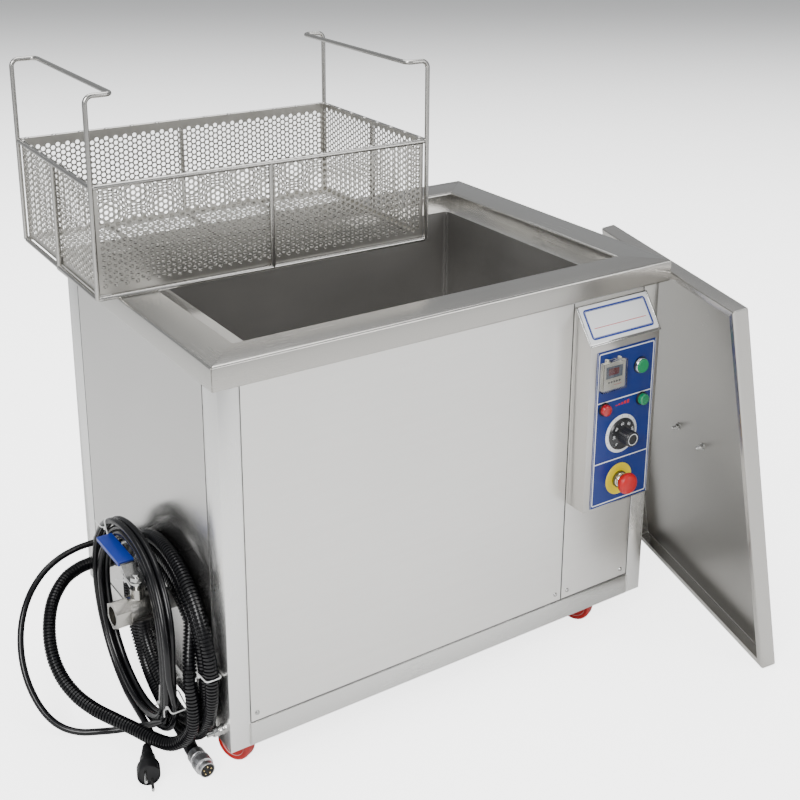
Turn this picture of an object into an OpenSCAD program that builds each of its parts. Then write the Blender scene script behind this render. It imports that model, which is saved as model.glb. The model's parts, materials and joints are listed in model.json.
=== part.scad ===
// Heated ultrasonic parts washer: a stainless cabinet on casters, with its tank, drain valve, controls,
// parts basket and lid. Millimetres, Z up, floor at Z 0, X along the front, Y towards the back.

/* [Cabinet] */
// Width of the rim
rim_w = 860; // [800:1:1040]
// Depth of the rim from front to back
rim_d = 616; // [570:1:740]
// Height of the rim above the floor
top_h = 700; // [640:1:840]
// Width of the rim's flat band
band_w = 64; // [56:1:76]
// Thickness of the rim's sheet
rim_t = 2; // [1.5:0.1:2.5]
// Height of the rim's outer skirt
skirt_h = 36; // [30:1:43]
// Depth of the recess that the lid drops into
recess_h = 22; // [16:1:26]
// How far the body stands in from the rim's edge
body_inset = 12; // [9:1:15]
// Height of the frame's lowest edge above the floor
ground_gap = 60; // [58:1:72]
// Thickness of the posts, rails and panels
sheet = 1.6; // [1.2:0.1:2]
// Width of a corner post's leg on the front and the back
post_w = 34; // [28:1:42]
// Width of a corner post's leg on the sides
post_d = 48; // [40:1:56]
// Height of the bottom rails
rail_h = 38; // [34:1:46]
// Open joint between a panel and its neighbours
panel_gap = 1; // [0.5:0.1:1.6]
// Width of the access panel behind the controls
access_w = 156; // [154:1:170]

/* [Tank] */
// Width of the ledge round the tank's mouth
ledge_w = 42; // [34:1:46]
// Depth of the tank below its ledge
tank_h = 380; // [320:1:390]
// Wall of the tank
tank_t = 2; // [1.5:0.1:3]
// Inside radius of the tank's upright corners
tank_r = 10; // [6:1:20]
// Diameter of a transducer's driven face
transducer_d = 56; // [44:1:60]
// Height of a transducer under the tank
transducer_h = 52; // [40:1:60]

/* [Drain] */
// Outside diameter of the drain pipe
pipe_d = 33.7; // [30:0.1:36]
// Wall of the drain pipe
pipe_t = 3.2; // [2.6:0.1:4]
// Bend radius of the drain elbow
elbow_r = 34; // [30:1:38]
// Across flats of the valve's hexagon ends
valve_af = 40; // [38:1:44]
// Length of the valve from end to end
valve_l = 84; // [76:1:96]
// Bore of the valve's female outlet thread
valve_bore = 30.3; // [28:0.1:32]
// Length of the lever from the stem
lever_l = 132; // [110:1:150]
// How far the lever turns
lever_turn = 90; // [60:1:90]

/* [Controls] */
// Width of the control box
control_w = 152; // [148:1:156]
// Height of the control box's upright face
control_h = 303; // [300:1:320]
// How far the control box stands off the body
control_out = 41; // [38:1:46]
// Side of the square timer
timer_w = 48; // [44:1:50]
// Diameter of the start button's bezel
bezel_d = 29.5; // [28:0.1:32]
// How far the start button travels
start_travel = 4; // [2:0.5:4]
// Diameter of the lamp lenses
lamp_d = 20; // [16:0.5:21]
// Diameter of the heat dial's plate
dial_d = 70; // [62:1:72]
// Diameter of the heat knob's numbered skirt
skirt_d = 58; // [50:1:60]
// Diameter of the heat knob's grip
knob_d = 28; // [22:1:32]
// Diameter of the stop button's yellow ring
stop_ring_d = 58; // [50:1:60]
// Diameter of the stop button's head
stop_head_d = 38; // [34:1:40]
// How far the stop button travels
stop_travel = 5; // [3:0.5:5]

/* [Casters] */
// Diameter of the wheels
wheel_d = 60; // [52:1:60]
// Width of the wheels over the tyre
wheel_w = 24; // [20:1:26]
// Distance from a swivel to its wheel's axle
trail = 20; // [16:1:22]
// Diameter of the swivel pins
kingpin_d = 10; // [8:0.5:12]
// Diameter of the axles
axle_d = 8; // [6:0.5:10]

/* [Basket] */
// Length of the parts basket
basket_l = 612; // [520:1:640]
// Width of the parts basket
basket_w = 376; // [340:1:396]
// Height of the basket's sides
basket_h = 186; // [150:1:220]
// Diameter of the basket's rods
rod_d = 8; // [6:0.5:10]
// Height of the lifting handles above the basket's bottom
grip_h = 326; // [280:1:340]
// How far the handles lean in over the basket
grip_in = 42; // [34:1:60]

/* [Lid] */
// Width of the lid
lid_w = 470; // [450:1:485]
// Length of the lid
lid_l = 690; // [670:1:725]
// Depth of the lid's folded edge
lid_h = 25; // [20:1:30]
// Thickness of the lid's sheet
lid_t = 1.5; // [1.2:0.1:2]
// Lean of the lid from upright
lid_lean = 10; // [8:0.5:12]
// Turn of the lid away from the cabinet's side
lid_turn = 16; // [12:0.5:18]

/* [Cords] */
// Diameter of the power cable
cable_d = 11; // [9:0.5:11]
// Diameter of the corrugated conduit
conduit_d = 22; // [20:0.5:23]

/* [Hidden] */

$fn = 48;
fit = 0.3;             // open gap between pieces that don't touch
run = 0.05;            // radial clearance of a turning or sliding fit
screw_fit = 0.15;      // radial clearance round a screw

// The cabinet stands left of and behind the origin, which is midway along and across the whole object.
cab_x0 = -rim_w / 2 - 55;
cab_x1 = cab_x0 + rim_w;
cab_y0 = -rim_d / 2 + 78;
cab_y1 = cab_y0 + rim_d;
body_x0 = cab_x0 + body_inset;
body_x1 = cab_x1 - body_inset;
body_y0 = cab_y0 + body_inset;
body_y1 = cab_y1 - body_inset;
band_z = top_h - rim_t;
rail_top = ground_gap + rail_h;
lip_h = 32;            // how far a rail's lip stands up behind the panels
lip_lap = 8;           // how far it laps down behind the rail
lip_w = 14;            // how far a post's lip reaches behind the panels
top_rail_h = 36;
top_rail_w = 30;
panel_z0 = rail_top + 3;
panel_z1 = band_z - 3;
seam_x = body_x1 - post_w - access_w;

// Screw places: front and back by X, sides by Y, all at one height.
screw_d = 4;
screw_hole_d = screw_d + 2 * screw_fit;
screw_z = panel_z0 + 14;
front_screws = [body_x0 + post_w + 12, seam_x - 13, seam_x + 14, body_x1 - post_w - 16];
rear_screws = [body_x0 + post_w + 12, (body_x0 + body_x1) / 2, body_x1 - post_w - 12];
side_screws = [body_y0 + post_d + 12, body_y1 - post_d - 12];

// Tank
mouth_x0 = cab_x0 + band_w + ledge_w;
mouth_x1 = cab_x1 - band_w - ledge_w;
mouth_y0 = cab_y0 + band_w + ledge_w;
mouth_y1 = cab_y1 - band_w - ledge_w;
ledge_z = top_h - recess_h;
tank_floor = ledge_z - tank_h;

// Drain
drain_y = -58;
drain_x = mouth_x0 + 44;
drain_z = tank_floor - tank_t - 9 - elbow_r;
valve_x0 = body_x0 - 30;             // the valve's inner end
valve_x1 = valve_x0 - valve_l;
valve_x = valve_x0 - valve_l / 2;
pipe_bore = pipe_d - 2 * pipe_t;
sieve_hole = 3.5;       // round holes in the tank floor over the pipe
sieve_pitch = 5;
stem_d = 11;
lever_z = drain_z + 45;
lever_w = 22;
lever_t = 3;
lever_rise = 12;       // step up from the stem to the sleeve
ball_d = 36;
valve_end = 24;        // length of each hexagon end

// Left side fittings
cable_gland_y = 224;
cable_gland_z = 216;
conduit_gland_y = 218;
conduit_gland_z = 182;
gland_out = 38;
stud_y = body_y0 + 28;
stud_z = ground_gap + 26;
stud_d = 8;
stud_washer_d = 16;

// Controls
control_x0 = body_x1 - 33 - control_w;
control_x1 = control_x0 + control_w;
control_x = (control_x0 + control_x1) / 2;
control_z0 = 289;
control_z1 = control_z0 + control_h;
control_y = body_y0 - control_out;
slope_z = control_z1 + 58;
overlay_t = 1;
overlay_left = 14;     // margins of the box's face beside the overlay
overlay_right = 8;
face_y = control_y - overlay_t;      // the face that the controls stand on
timer_x = control_x - 30;
timer_z = control_z0 + 247;
button_x = control_x + 35;
button_z = timer_z + 2;
lamp_gap = 42;
lamp_z = timer_z - 61;
dial_z = timer_z - 116;
stop_z = timer_z - 201;
barrel_d = 22;
knob_shaft_d = 6;
stop_stem_d = 16;
start_stem_d = 18;
hinge_d = 2.4;
hinge_y = face_y - 3;
hinge_z = timer_z + timer_w / 2 + 3.5;

// Casters
swivel_x = [body_x0 + 46, body_x1 - 90];
swivel_y = [body_y0 + 41, body_y1 - 41];
shelf_z = ground_gap + 22;
axle_z = wheel_d / 2;
bridge_z = shelf_z - 16;
toe = 116;             // how far the forks are turned from straight along the front

// Basket
basket_x = cab_x0 + 302 - 30;
basket_y = cab_y1 - 110;
basket_turn = -1.3;
basket_z = top_h;
basket_t = 1;
half_l = basket_l / 2 - rod_d / 2;
half_w = basket_w / 2 - rod_d / 2;
low = rod_d / 2;
high = basket_h - rod_d / 2;
upright_top = basket_h + 2;

// Lid: its lower inner edge lies on the floor and it leans on the cabinet's front right corner.
lid_back = 204;        // how far the lid reaches forward of that corner
lid_lip = 12;
lid_hole_gap = 88;
lid_holes = [lid_w / 2 - lid_hole_gap / 2, lid_w / 2 + lid_hole_gap / 2];
lid_grip_d = 14;
lid_screw_d = 6;
lean_z = lid_l * cos(lid_lean);
lean_at = min(lean_z, top_h);          // the height where the lid touches the cabinet
lean_on_rim = lean_at > top_h - skirt_h;
lean_x = lean_on_rim ? cab_x1 : body_x1;
lean_y = lean_on_rim ? cab_y0 : body_y0;
lean_out = lean_at * tan(lid_lean) + 0.5;

// Cords: each point is its distance out from the body's left side, then Y and Z.
cable_coil_r = 157;
cable_coil_out = 47.5;
cable_coil_y = 15;
cable_coil_z = 174;
cable_coil_w = 2 * cable_d;
cable_coil_h = 34;
conduit_coil_w = conduit_d + 1;
conduit_coil_h = 3 * conduit_d;
conduit_coil_r = 120.2 + pipe_d / 2;       // its inside clears the drain pipe
conduit_coil_out = 14.5;
conduit_coil_y = -31;
conduit_coil_z = conduit_coil_r + conduit_coil_h / 2 + 1;
plug_turn = 20;
plug_z = 18.2;
plug_at = [88, -98, plug_z];
cable_way = [[gland_out, cable_gland_y, cable_gland_z], [gland_out + 12, cable_gland_y, cable_gland_z],
    [74, 222, 215], [106, 214, 211], [139, 201, 200], [170, 182, 178], [192, 160, 148], [204, 136, 114],
    [207, 110, 80], [202, 84, 50], [191, 60, 27], [174, 40, 12], [152, 22, 6], [128, 8, 6], [105, -3, 6],
    [86, -14, 9], [71, -30, 17], [61, -50, 29], [55, -71, 44], [53, -92, 60]];
cable_tail_way = [[47.5, 15, 6], [50.5, -10, 6], [57.5, -35, 6], [68, -58, 8], [78, -76, 13],
    plug_at + 10 * [-sin(plug_turn), cos(plug_turn), 0], plug_at];
conduit_way = [[gland_out, conduit_gland_y, conduit_gland_z],
    [gland_out + 14, conduit_gland_y, conduit_gland_z],
    [74, 214, 181], [103, 202, 175], [132, 178, 158], [151, 148, 132], [160, 114, 103], [158, 80, 78],
    [147, 46, 59], [130, 13, 47], [110, -21, 41], [90, -54, 36], [74, -90, 35], [58, -122, 39],
    [43, -145, 57],
    [36, -160, 82], [30, -166, 110]];
connector_at = [25, -140, 17];
conduit_tail_way = [[14.5, conduit_coil_y, 12], [16, -66, 12.5], [20, -98, 14],
    connector_at + [0, 14, 0], connector_at];
cable_route = from_side(cable_way);
cable_tail = from_side(cable_tail_way);
conduit_route = from_side(conduit_way);
conduit_tail = from_side(conduit_tail_way);

// ---- shared shapes ----

function unit(v) = v / norm(v);

function from_side(way) = [for (p = way) [body_x0 - p[0], p[1], p[2]]];

// Tangent of a route at point i.
function heading(p, i) = unit(p[min(i + 1, len(p) - 1)] - p[max(i - 1, 0)]);

// A closed round tube swept along a route.
module swept(route, d, sides) {
    count = len(route);
    points = [for (i = [0:count - 1])
        let (t = heading(route, i), u = unit(cross(t, [0, 0.02, 1])), v = cross(t, u))
        for (k = [0:sides - 1]) route[i] + d / 2 * (cos(360 * k / sides) * u + sin(360 * k / sides) * v)];
    walls = [for (i = [0:count - 2]) for (k = [0:sides - 1])
        let (n = (k + 1) % sides) [i * sides + k, i * sides + n, (i + 1) * sides + n, (i + 1) * sides + k]];
    first = [[for (k = [0:sides - 1]) sides - 1 - k]];
    last = [[for (k = [0:sides - 1]) (count - 1) * sides + k]];
    polyhedron(points, concat(walls, first, last), convexity = 8);
}

// A rectangular wall of thickness t inside the outline given by two corners.
module ring_wall(x0, y0, x1, y1, t, z0, z1) {
    translate([0, 0, z0]) linear_extrude(z1 - z0) difference() {
        translate([x0, y0]) square([x1 - x0, y1 - y0]);
        translate([x0 + t, y0 + t]) square([x1 - x0 - 2 * t, y1 - y0 - 2 * t]);
    }
}

module block(x0, y0, z0, x1, y1, z1) {
    translate([x0, y0, z0]) cube([x1 - x0, y1 - y0, z1 - z0]);
}

// A rectangle with its corner at the origin and its sides towards sx and sy.
module corner_square(sx, sy, a, b) {
    translate([min(0, sx * a), min(0, sy * b)]) square([a, b]);
}

module rounded_square(x0, y0, x1, y1, r) {
    translate([x0 + r, y0]) square([x1 - x0 - 2 * r, y1 - y0]);
    translate([x0, y0 + r]) square([x1 - x0, y1 - y0 - 2 * r]);
    for (x = [x0 + r, x1 - r]) for (y = [y0 + r, y1 - r]) translate([x, y]) circle(r);
}

// A solid drawn in the Y-Z plane and drawn out along X.
module along_x(x0, x1) {
    translate([x0, 0, 0]) rotate([90, 0, 90]) linear_extrude(x1 - x0) children();
}

// A cylinder from y0 to y1 at a place on the control face.
module rod_y(x, z, y0, y1, d) {
    translate([x, y1, z]) rotate([90, 0, 0]) cylinder(d = d, h = y1 - y0);
}

module rod_x(y, z, x0, x1, d) {
    translate([x0, y, z]) rotate([0, 90, 0]) cylinder(d = d, h = x1 - x0);
}

module hex_x(y, z, x0, x1, af) {
    translate([x0, y, z]) rotate([0, 90, 0]) cylinder(d = af / cos(30), h = x1 - x0, $fn = 6);
}

// ---- cabinet ----

module post(x, y, sx, sy) {
    translate([x, y, ground_gap]) linear_extrude(band_z - ground_gap) difference() {
        corner_square(sx, sy, post_w, post_d);
        translate([sx * sheet, sy * sheet]) corner_square(sx, sy, post_w, post_d);
    }
    lip_z0 = rail_top + lip_h + 1;
    lip_z1 = band_z - top_rail_h - 1;
    translate([x + sx * (post_w - 4), y + sy * sheet, lip_z0]) linear_extrude(lip_z1 - lip_z0)
        corner_square(sx, sy, lip_w + 4, sheet);
    translate([x + sx * sheet, y + sy * (post_d - 4), lip_z0]) linear_extrude(lip_z1 - lip_z0)
        corner_square(sx, sy, sheet, lip_w + 4);
}

module corner_posts() color([0.80, 0.80, 0.78]) {
    post(body_x0, body_y0, 1, 1);
    post(body_x1, body_y0, -1, 1);
    post(body_x0, body_y1, 1, -1);
    post(body_x1, body_y1, -1, -1);
}

// One rail: its web below and its lip behind the panel, along X with its outer face at y and inward s.
module rail_x(x0, x1, y, s) {
    block(x0, min(y, y + s * sheet), ground_gap, x1, max(y, y + s * sheet), rail_top);
    block(x0, min(y + s * sheet, y + 2 * s * sheet), rail_top - lip_lap,
        x1, max(y + s * sheet, y + 2 * s * sheet), rail_top + lip_h);
}

module rail_y(y0, y1, x, s) {
    block(min(x, x + s * sheet), y0, ground_gap, max(x, x + s * sheet), y1, rail_top);
    block(min(x + s * sheet, x + 2 * s * sheet), y0, rail_top - lip_lap,
        max(x + s * sheet, x + 2 * s * sheet), y1, rail_top + lip_h);
}

module caster_shelf(i, j) {
    x_wall = i == 0 ? body_x0 + sheet : body_x1 - sheet;
    x_in = i == 0 ? swivel_x[0] + 50 : swivel_x[1] - 50;
    y_wall = j == 0 ? body_y0 + sheet : body_y1 - sheet;
    y_in = j == 0 ? swivel_y[0] + 45 : swivel_y[1] - 45;
    difference() {
        block(min(x_wall, x_in), min(y_wall, y_in), shelf_z, max(x_wall, x_in), max(y_wall, y_in),
            shelf_z + 3);
        caster_screws(i, j, 6 + 2 * screw_fit, shelf_z - 1, shelf_z + 5);
    }
}

module bottom_rails() color([0.78, 0.78, 0.76]) {
    difference() {
        rail_x(body_x0 + post_w, body_x1 - post_w, body_y0, 1);
        screws_x(front_screws, body_y0, screw_hole_d);
    }
    difference() {
        rail_x(body_x0 + post_w, body_x1 - post_w, body_y1, -1);
        screws_x(rear_screws, body_y1, screw_hole_d);
    }
    difference() {
        rail_y(body_y0 + post_d, body_y1 - post_d, body_x0, 1);
        screws_y(side_screws, body_x0, screw_hole_d);
    }
    difference() {
        rail_y(body_y0 + post_d, body_y1 - post_d, body_x1, -1);
        screws_y(side_screws, body_x1, screw_hole_d);
    }
    for (i = [0, 1]) for (j = [0, 1]) caster_shelf(i, j);
}

module top_rails() color([0.75, 0.75, 0.73]) {
    ring_wall(body_x0 + sheet, body_y0 + sheet, body_x1 - sheet, body_y1 - sheet, sheet,
        band_z - top_rail_h, band_z);
    ring_wall(body_x0 + 2 * sheet, body_y0 + 2 * sheet, body_x1 - 2 * sheet, body_y1 - 2 * sheet,
        top_rail_w, band_z - sheet, band_z);
}

module panel_mullion() color([0.7, 0.7, 0.68]) difference() {
    block(seam_x - 20, body_y0 + sheet, rail_top + lip_h + 1, seam_x + 20, body_y0 + 2 * sheet,
        band_z - top_rail_h - 1);
    block(control_x0 + 10, body_y0, control_z0 + 20, control_x1, body_y0 + 5, control_z1 + 20);
}

module screws_x(places, y, d) {
    for (x = places) rod_y(x, screw_z, y - 6, y + 6, d);
}

module screws_y(places, x, d) {
    for (y = places) rod_x(y, screw_z, x - 6, x + 6, d);
}

module front_panel() color([0.74, 0.74, 0.72]) difference() {
    block(body_x0 + post_w + panel_gap, body_y0, panel_z0, seam_x - panel_gap / 2, body_y0 + sheet, panel_z1);
    screws_x(front_screws, body_y0, screw_hole_d);
}

module access_panel() color([0.72, 0.72, 0.70]) difference() {
    block(seam_x + panel_gap / 2, body_y0, panel_z0, body_x1 - post_w - panel_gap, body_y0 + sheet, panel_z1);
    screws_x(front_screws, body_y0, screw_hole_d);
    block(control_x0 + 14, body_y0 - 1, control_z0 + 20, control_x1 - 14, body_y0 + 5, control_z1);
}

module side_panel(x) {
    block(min(x, x + (x < 0 ? sheet : -sheet)), body_y0 + post_d + panel_gap, panel_z0,
        max(x, x + (x < 0 ? sheet : -sheet)), body_y1 - post_d - panel_gap, panel_z1);
}

module left_panel() color([0.85, 0.85, 0.83]) difference() {
    side_panel(body_x0);
    screws_y(side_screws, body_x0, screw_hole_d);
    rod_x(drain_y, drain_z, body_x0 - 2, body_x0 + 5, pipe_d + 4);
    rod_x(cable_gland_y, cable_gland_z, body_x0 - 2, body_x0 + 5, 20 + 2 * screw_fit);
    rod_x(conduit_gland_y, conduit_gland_z, body_x0 - 2, body_x0 + 5, 27 + 2 * screw_fit);
}

module right_panel() color([0.74, 0.74, 0.72]) difference() {
    side_panel(body_x1);
    screws_y(side_screws, body_x1, screw_hole_d);
}

module rear_panel() color([0.74, 0.74, 0.72]) difference() {
    block(body_x0 + post_w + panel_gap, body_y1 - sheet, panel_z0, body_x1 - post_w - panel_gap, body_y1,
        panel_z1);
    screws_x(rear_screws, body_y1, screw_hole_d);
}

module screw_out(x, y, a) {
    translate([x, y, screw_z]) rotate([0, 0, a]) rotate([90, 0, 0]) {
        cylinder(d1 = 8, d2 = 5.6, h = 2.4);
        translate([0, 0, -8]) cylinder(d = screw_d, h = 8.1);
    }
}

module panel_screws() color([0.85, 0.85, 0.85]) {
    for (x = front_screws) screw_out(x, body_y0, 0);
    for (x = rear_screws) screw_out(x, body_y1, 180);
    for (y = side_screws) screw_out(body_x0, y, -90);
    for (y = side_screws) screw_out(body_x1, y, 90);
}

module rim() color([0.86, 0.86, 0.84]) {
    ring_wall(cab_x0, cab_y0, cab_x1, cab_y1, band_w, band_z, top_h);
    ring_wall(cab_x0, cab_y0, cab_x1, cab_y1, rim_t, top_h - skirt_h, band_z);
    ring_wall(cab_x0 + band_w - rim_t, cab_y0 + band_w - rim_t, cab_x1 - band_w + rim_t,
        cab_y1 - band_w + rim_t,
        rim_t, ledge_z, band_z);
}

// ---- tank and what is fixed to it ----

module tank() color([0.55, 0.55, 0.55]) difference() {
    union() {
        block(cab_x0 + band_w - 6, cab_y0 + band_w - 6, ledge_z - tank_t, cab_x1 - band_w + 6,
            cab_y1 - band_w + 6,
            ledge_z);
        translate([0, 0, tank_floor - tank_t]) linear_extrude(tank_h)
            rounded_square(mouth_x0 - tank_t, mouth_y0 - tank_t, mouth_x1 + tank_t, mouth_y1 + tank_t,
                tank_r + tank_t);
    }
    translate([0, 0, tank_floor]) linear_extrude(tank_h + 1)
        rounded_square(mouth_x0, mouth_y0, mouth_x1, mouth_y1, tank_r);
    // Sieve over the drain pipe, so that small parts stay in the tank.
    for (ring = [0:2]) for (k = [0:max(0, ring * 6 - 1)])
        translate([drain_x, drain_y, tank_floor - 5]) rotate(k * 60 / max(1, ring))
            translate([ring * sieve_pitch, 0, 0]) cylinder(d = sieve_hole, h = 10, $fn = 12);
}

module transducers() color([0.6, 0.6, 0.62]) {
    step_x = (mouth_x1 - drain_x - 100) / 4;
    step_y = (mouth_y1 - mouth_y0) / 3;
    for (i = [0:3]) for (j = [0:2])
        translate([drain_x + 100 + step_x * (i + 0.5) - 10, mouth_y0 + step_y * (j + 0.5),
            tank_floor - tank_t - transducer_h]) {
            translate([0, 0, transducer_h * 0.5])
                cylinder(d1 = 40, d2 = transducer_d, h = transducer_h * 0.5);
            translate([0, 0, transducer_h * 0.15]) cylinder(d = 40, h = transducer_h * 0.35);
            cylinder(d = 12, h = transducer_h * 0.15, $fn = 6);
        }
}

module heater_pads() color([0.75, 0.35, 0.15]) {
    for (x = [mouth_x0 + 60, mouth_x1 - 60 - 230]) {
        block(x, mouth_y0 - tank_t - 4, tank_floor + 50, x + 230, mouth_y0 - tank_t, tank_floor + 200);
        block(x, mouth_y1 + tank_t, tank_floor + 50, x + 230, mouth_y1 + tank_t + 4, tank_floor + 200);
    }
}

// Capillary thermostat behind the knob.
module thermostat() color([0.2, 0.2, 0.2]) difference() {
    block(control_x - 22, control_y + sheet, dial_z - 22, control_x + 22, control_y + 30, dial_z + 22);
    rod_y(control_x, dial_z, control_y, control_y + 16, knob_shaft_d + 2 * run);
}

// Contactor and terminals on a plate fixed to the right panel.
module terminal_block() color([0.25, 0.25, 0.27]) {
    block(body_x1 - sheet - 2, -120, 200, body_x1 - sheet, 120, 420);
    block(body_x1 - sheet - 62, -80, 320, body_x1 - sheet - 2, -30, 395);
    block(body_x1 - sheet - 62, -10, 320, body_x1 - sheet - 2, 40, 395);
    for (i = [0:5]) block(body_x1 - sheet - 34, -100 + i * 30, 230, body_x1 - sheet - 2, -74 + i * 30, 275);
}

module drain_pipe() color([0.7, 0.7, 0.7]) {
    top_z = tank_floor - tank_t;
    difference() {
        union() {
            translate([drain_x, drain_y, drain_z + elbow_r])
                cylinder(d = pipe_d, h = top_z - drain_z - elbow_r);
            translate([drain_x - elbow_r, drain_y, drain_z + elbow_r]) rotate([90, 0, 0])
                rotate([0, 0, -90]) rotate_extrude(angle = 90) translate([elbow_r, 0]) circle(d = pipe_d);
            rod_x(drain_y, drain_z, valve_x0 - 14, drain_x - elbow_r, pipe_d);
        }
        translate([drain_x, drain_y, drain_z + elbow_r - 0.01])
            cylinder(d = pipe_bore, h = top_z - drain_z - elbow_r + 1);
        translate([drain_x - elbow_r, drain_y, drain_z + elbow_r]) rotate([90, 0, 0])
            rotate([0, 0, -90]) rotate_extrude(angle = 90) translate([elbow_r, 0]) circle(d = pipe_bore);
        rod_x(drain_y, drain_z, valve_x0 - 15, drain_x - elbow_r + 0.01, pipe_bore);
    }
}

module valve_body() color([0.75, 0.75, 0.75]) difference() {
    union() {
        hex_x(drain_y, drain_z, valve_x1, valve_x1 + valve_end, valve_af);
        hex_x(drain_y, drain_z, valve_x0 - valve_end, valve_x0, valve_af);
        rod_x(drain_y, drain_z, valve_x1 + valve_end, valve_x0 - valve_end, ball_d + 8);
        translate([valve_x, drain_y, drain_z]) cylinder(d = 22, h = 36);
    }
    rod_x(drain_y, drain_z, valve_x1 - 1, valve_x1 + 18, valve_bore);
    rod_x(drain_y, drain_z, valve_x1 + 17.9, valve_x0 - 14, 24);
    rod_x(drain_y, drain_z, valve_x0 - 14.1, valve_x0 + 1, pipe_d + 0.1);
    translate([valve_x, drain_y, drain_z]) sphere(d = ball_d + 2 * run);
    translate([valve_x, drain_y, drain_z]) cylinder(d = stem_d + 2 * run, h = 40);
}

// The ball and its stem turn with the lever, so the bore lies across the flow when it is shut.
module valve_ball() color([0.85, 0.85, 0.85]) difference() {
    translate([valve_x, drain_y, drain_z]) {
        sphere(d = ball_d);
        cylinder(d = stem_d, h = lever_z - drain_z + lever_t + 12);
    }
    rod_y(valve_x, drain_z, drain_y - 30, drain_y + 30, 22);
}

module valve_lever() color([0.8, 0.8, 0.8]) difference() {
    union() {
        translate([valve_x, drain_y, lever_z]) cylinder(d = lever_w, h = lever_t);
        along_x(valve_x - lever_w / 2, valve_x + lever_w / 2)
            polygon([[drain_y, lever_z], [drain_y + 18, lever_z], [drain_y + 34, lever_z + lever_rise],
                [drain_y + lever_l - 4, lever_z + lever_rise],
                [drain_y + lever_l - 4, lever_z + lever_rise + lever_t],
                [drain_y + 33, lever_z + lever_rise + lever_t], [drain_y + 17, lever_z + lever_t],
                [drain_y, lever_z + lever_t]]);
        translate([valve_x, drain_y, lever_z + lever_t]) cylinder(d = 17 / cos(30), h = 7, $fn = 6);
    }
    translate([valve_x, drain_y, lever_z - 1]) cylinder(d = stem_d + 2 * run, h = 30);
}

module lever_sleeve() color([0.1, 0.25, 0.75]) difference() {
    block(valve_x - lever_w / 2 - 2, drain_y + 40, lever_z + lever_rise - 2, valve_x + lever_w / 2 + 2,
        drain_y + lever_l, lever_z + lever_rise + lever_t + 2);
    block(valve_x - lever_w / 2 - 0.02, drain_y + 39, lever_z + lever_rise - 0.02,
        valve_x + lever_w / 2 + 0.02,
        drain_y + lever_l - 3.9, lever_z + lever_rise + lever_t + 0.02);
}

// ---- left side fittings and cords ----

module gland(y, z, nut, dome, bore, thread) {
    difference() {
        union() {
            hex_x(y, z, body_x0 - 8, body_x0, nut);
            rod_x(y, z, body_x0 - 24, body_x0 - 8, dome);
            translate([body_x0 - 24, y, z]) rotate([0, -90, 0])
                cylinder(d1 = dome, d2 = bore + 5, h = gland_out - 24);
            rod_x(y, z, body_x0, body_x0 + 14, thread);
            hex_x(y, z, body_x0 + sheet, body_x0 + sheet + 6, nut);
        }
        rod_x(y, z, body_x0 - gland_out, body_x0 + 20, thread - 6);
    }
    rod_x(y, z, body_x0 - gland_out, body_x0 - gland_out + 4, bore + 5 - 0.01);
}

module cable_gland() color([0.08, 0.08, 0.08])
    gland(cable_gland_y, cable_gland_z, 26, 24, cable_d, 20);

module conduit_gland() color([0.08, 0.08, 0.08])
    gland(conduit_gland_y, conduit_gland_z, 33, 32, conduit_d, 27);

module power_cable() color([0.05, 0.05, 0.05]) {
    swept(cable_route, cable_d, 10);
    swept(cable_tail, cable_d, 10);
}

module conduit() color([0.05, 0.05, 0.05]) {
    swept(conduit_route, conduit_d, 12);
    swept(conduit_tail, conduit_d, 12);
}

module coil(x, y, z, r, w, h) {
    corner = 6;
    translate([x, y, z]) rotate([0, 90, 0]) rotate_extrude($fn = 96)
        rounded_square(r - h / 2, -w / 2, r + h / 2, w / 2, corner);
}

module power_cable_coil() color([0.06, 0.06, 0.06])
    coil(body_x0 - cable_coil_out, cable_coil_y, cable_coil_z, cable_coil_r, cable_coil_w, cable_coil_h);

module conduit_coil() color([0.06, 0.06, 0.06])
    coil(body_x0 - conduit_coil_out, conduit_coil_y, conduit_coil_z, conduit_coil_r, conduit_coil_w,
        conduit_coil_h);

module cable_tie(x, y, z, r, w, h, a) {
    translate([x, y, z]) rotate([a, 0, 0]) translate([0, 0, -r]) rotate([90, 0, 0])
        linear_extrude(4, center = true) difference() {
            square([w + 2 * fit + 2.6, h + 2 * fit + 2.6], center = true);
            square([w + 2 * fit, h + 2 * fit], center = true);
        }
}

module cable_ties() color([0.92, 0.92, 0.92]) {
    for (a = [-70, 150]) cable_tie(body_x0 - cable_coil_out, cable_coil_y, cable_coil_z, cable_coil_r,
        cable_coil_w, cable_coil_h, a);
    for (a = [-95, 10, 100]) cable_tie(body_x0 - conduit_coil_out, conduit_coil_y, conduit_coil_z,
        conduit_coil_r, conduit_coil_w, conduit_coil_h, a);
}

// Round plug with two pins, lying on the floor, its relief towards the cable.
module mains_plug() color([0.08, 0.08, 0.08]) {
    relief_l = 26;
    body_l = 34;
    plug_d = 36;
    last = cable_tail[len(cable_tail) - 1];
    translate(last) rotate([0, 0, -plug_turn]) rotate([90, 0, 0]) {
        cylinder(d1 = cable_d + 2, d2 = 22, h = relief_l);
        translate([0, 0, relief_l]) cylinder(d = plug_d, h = body_l);
        for (x = [-9.5, 9.5]) translate([x, 0, relief_l + body_l]) cylinder(d = 4.8, h = 19);
    }
}

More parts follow.
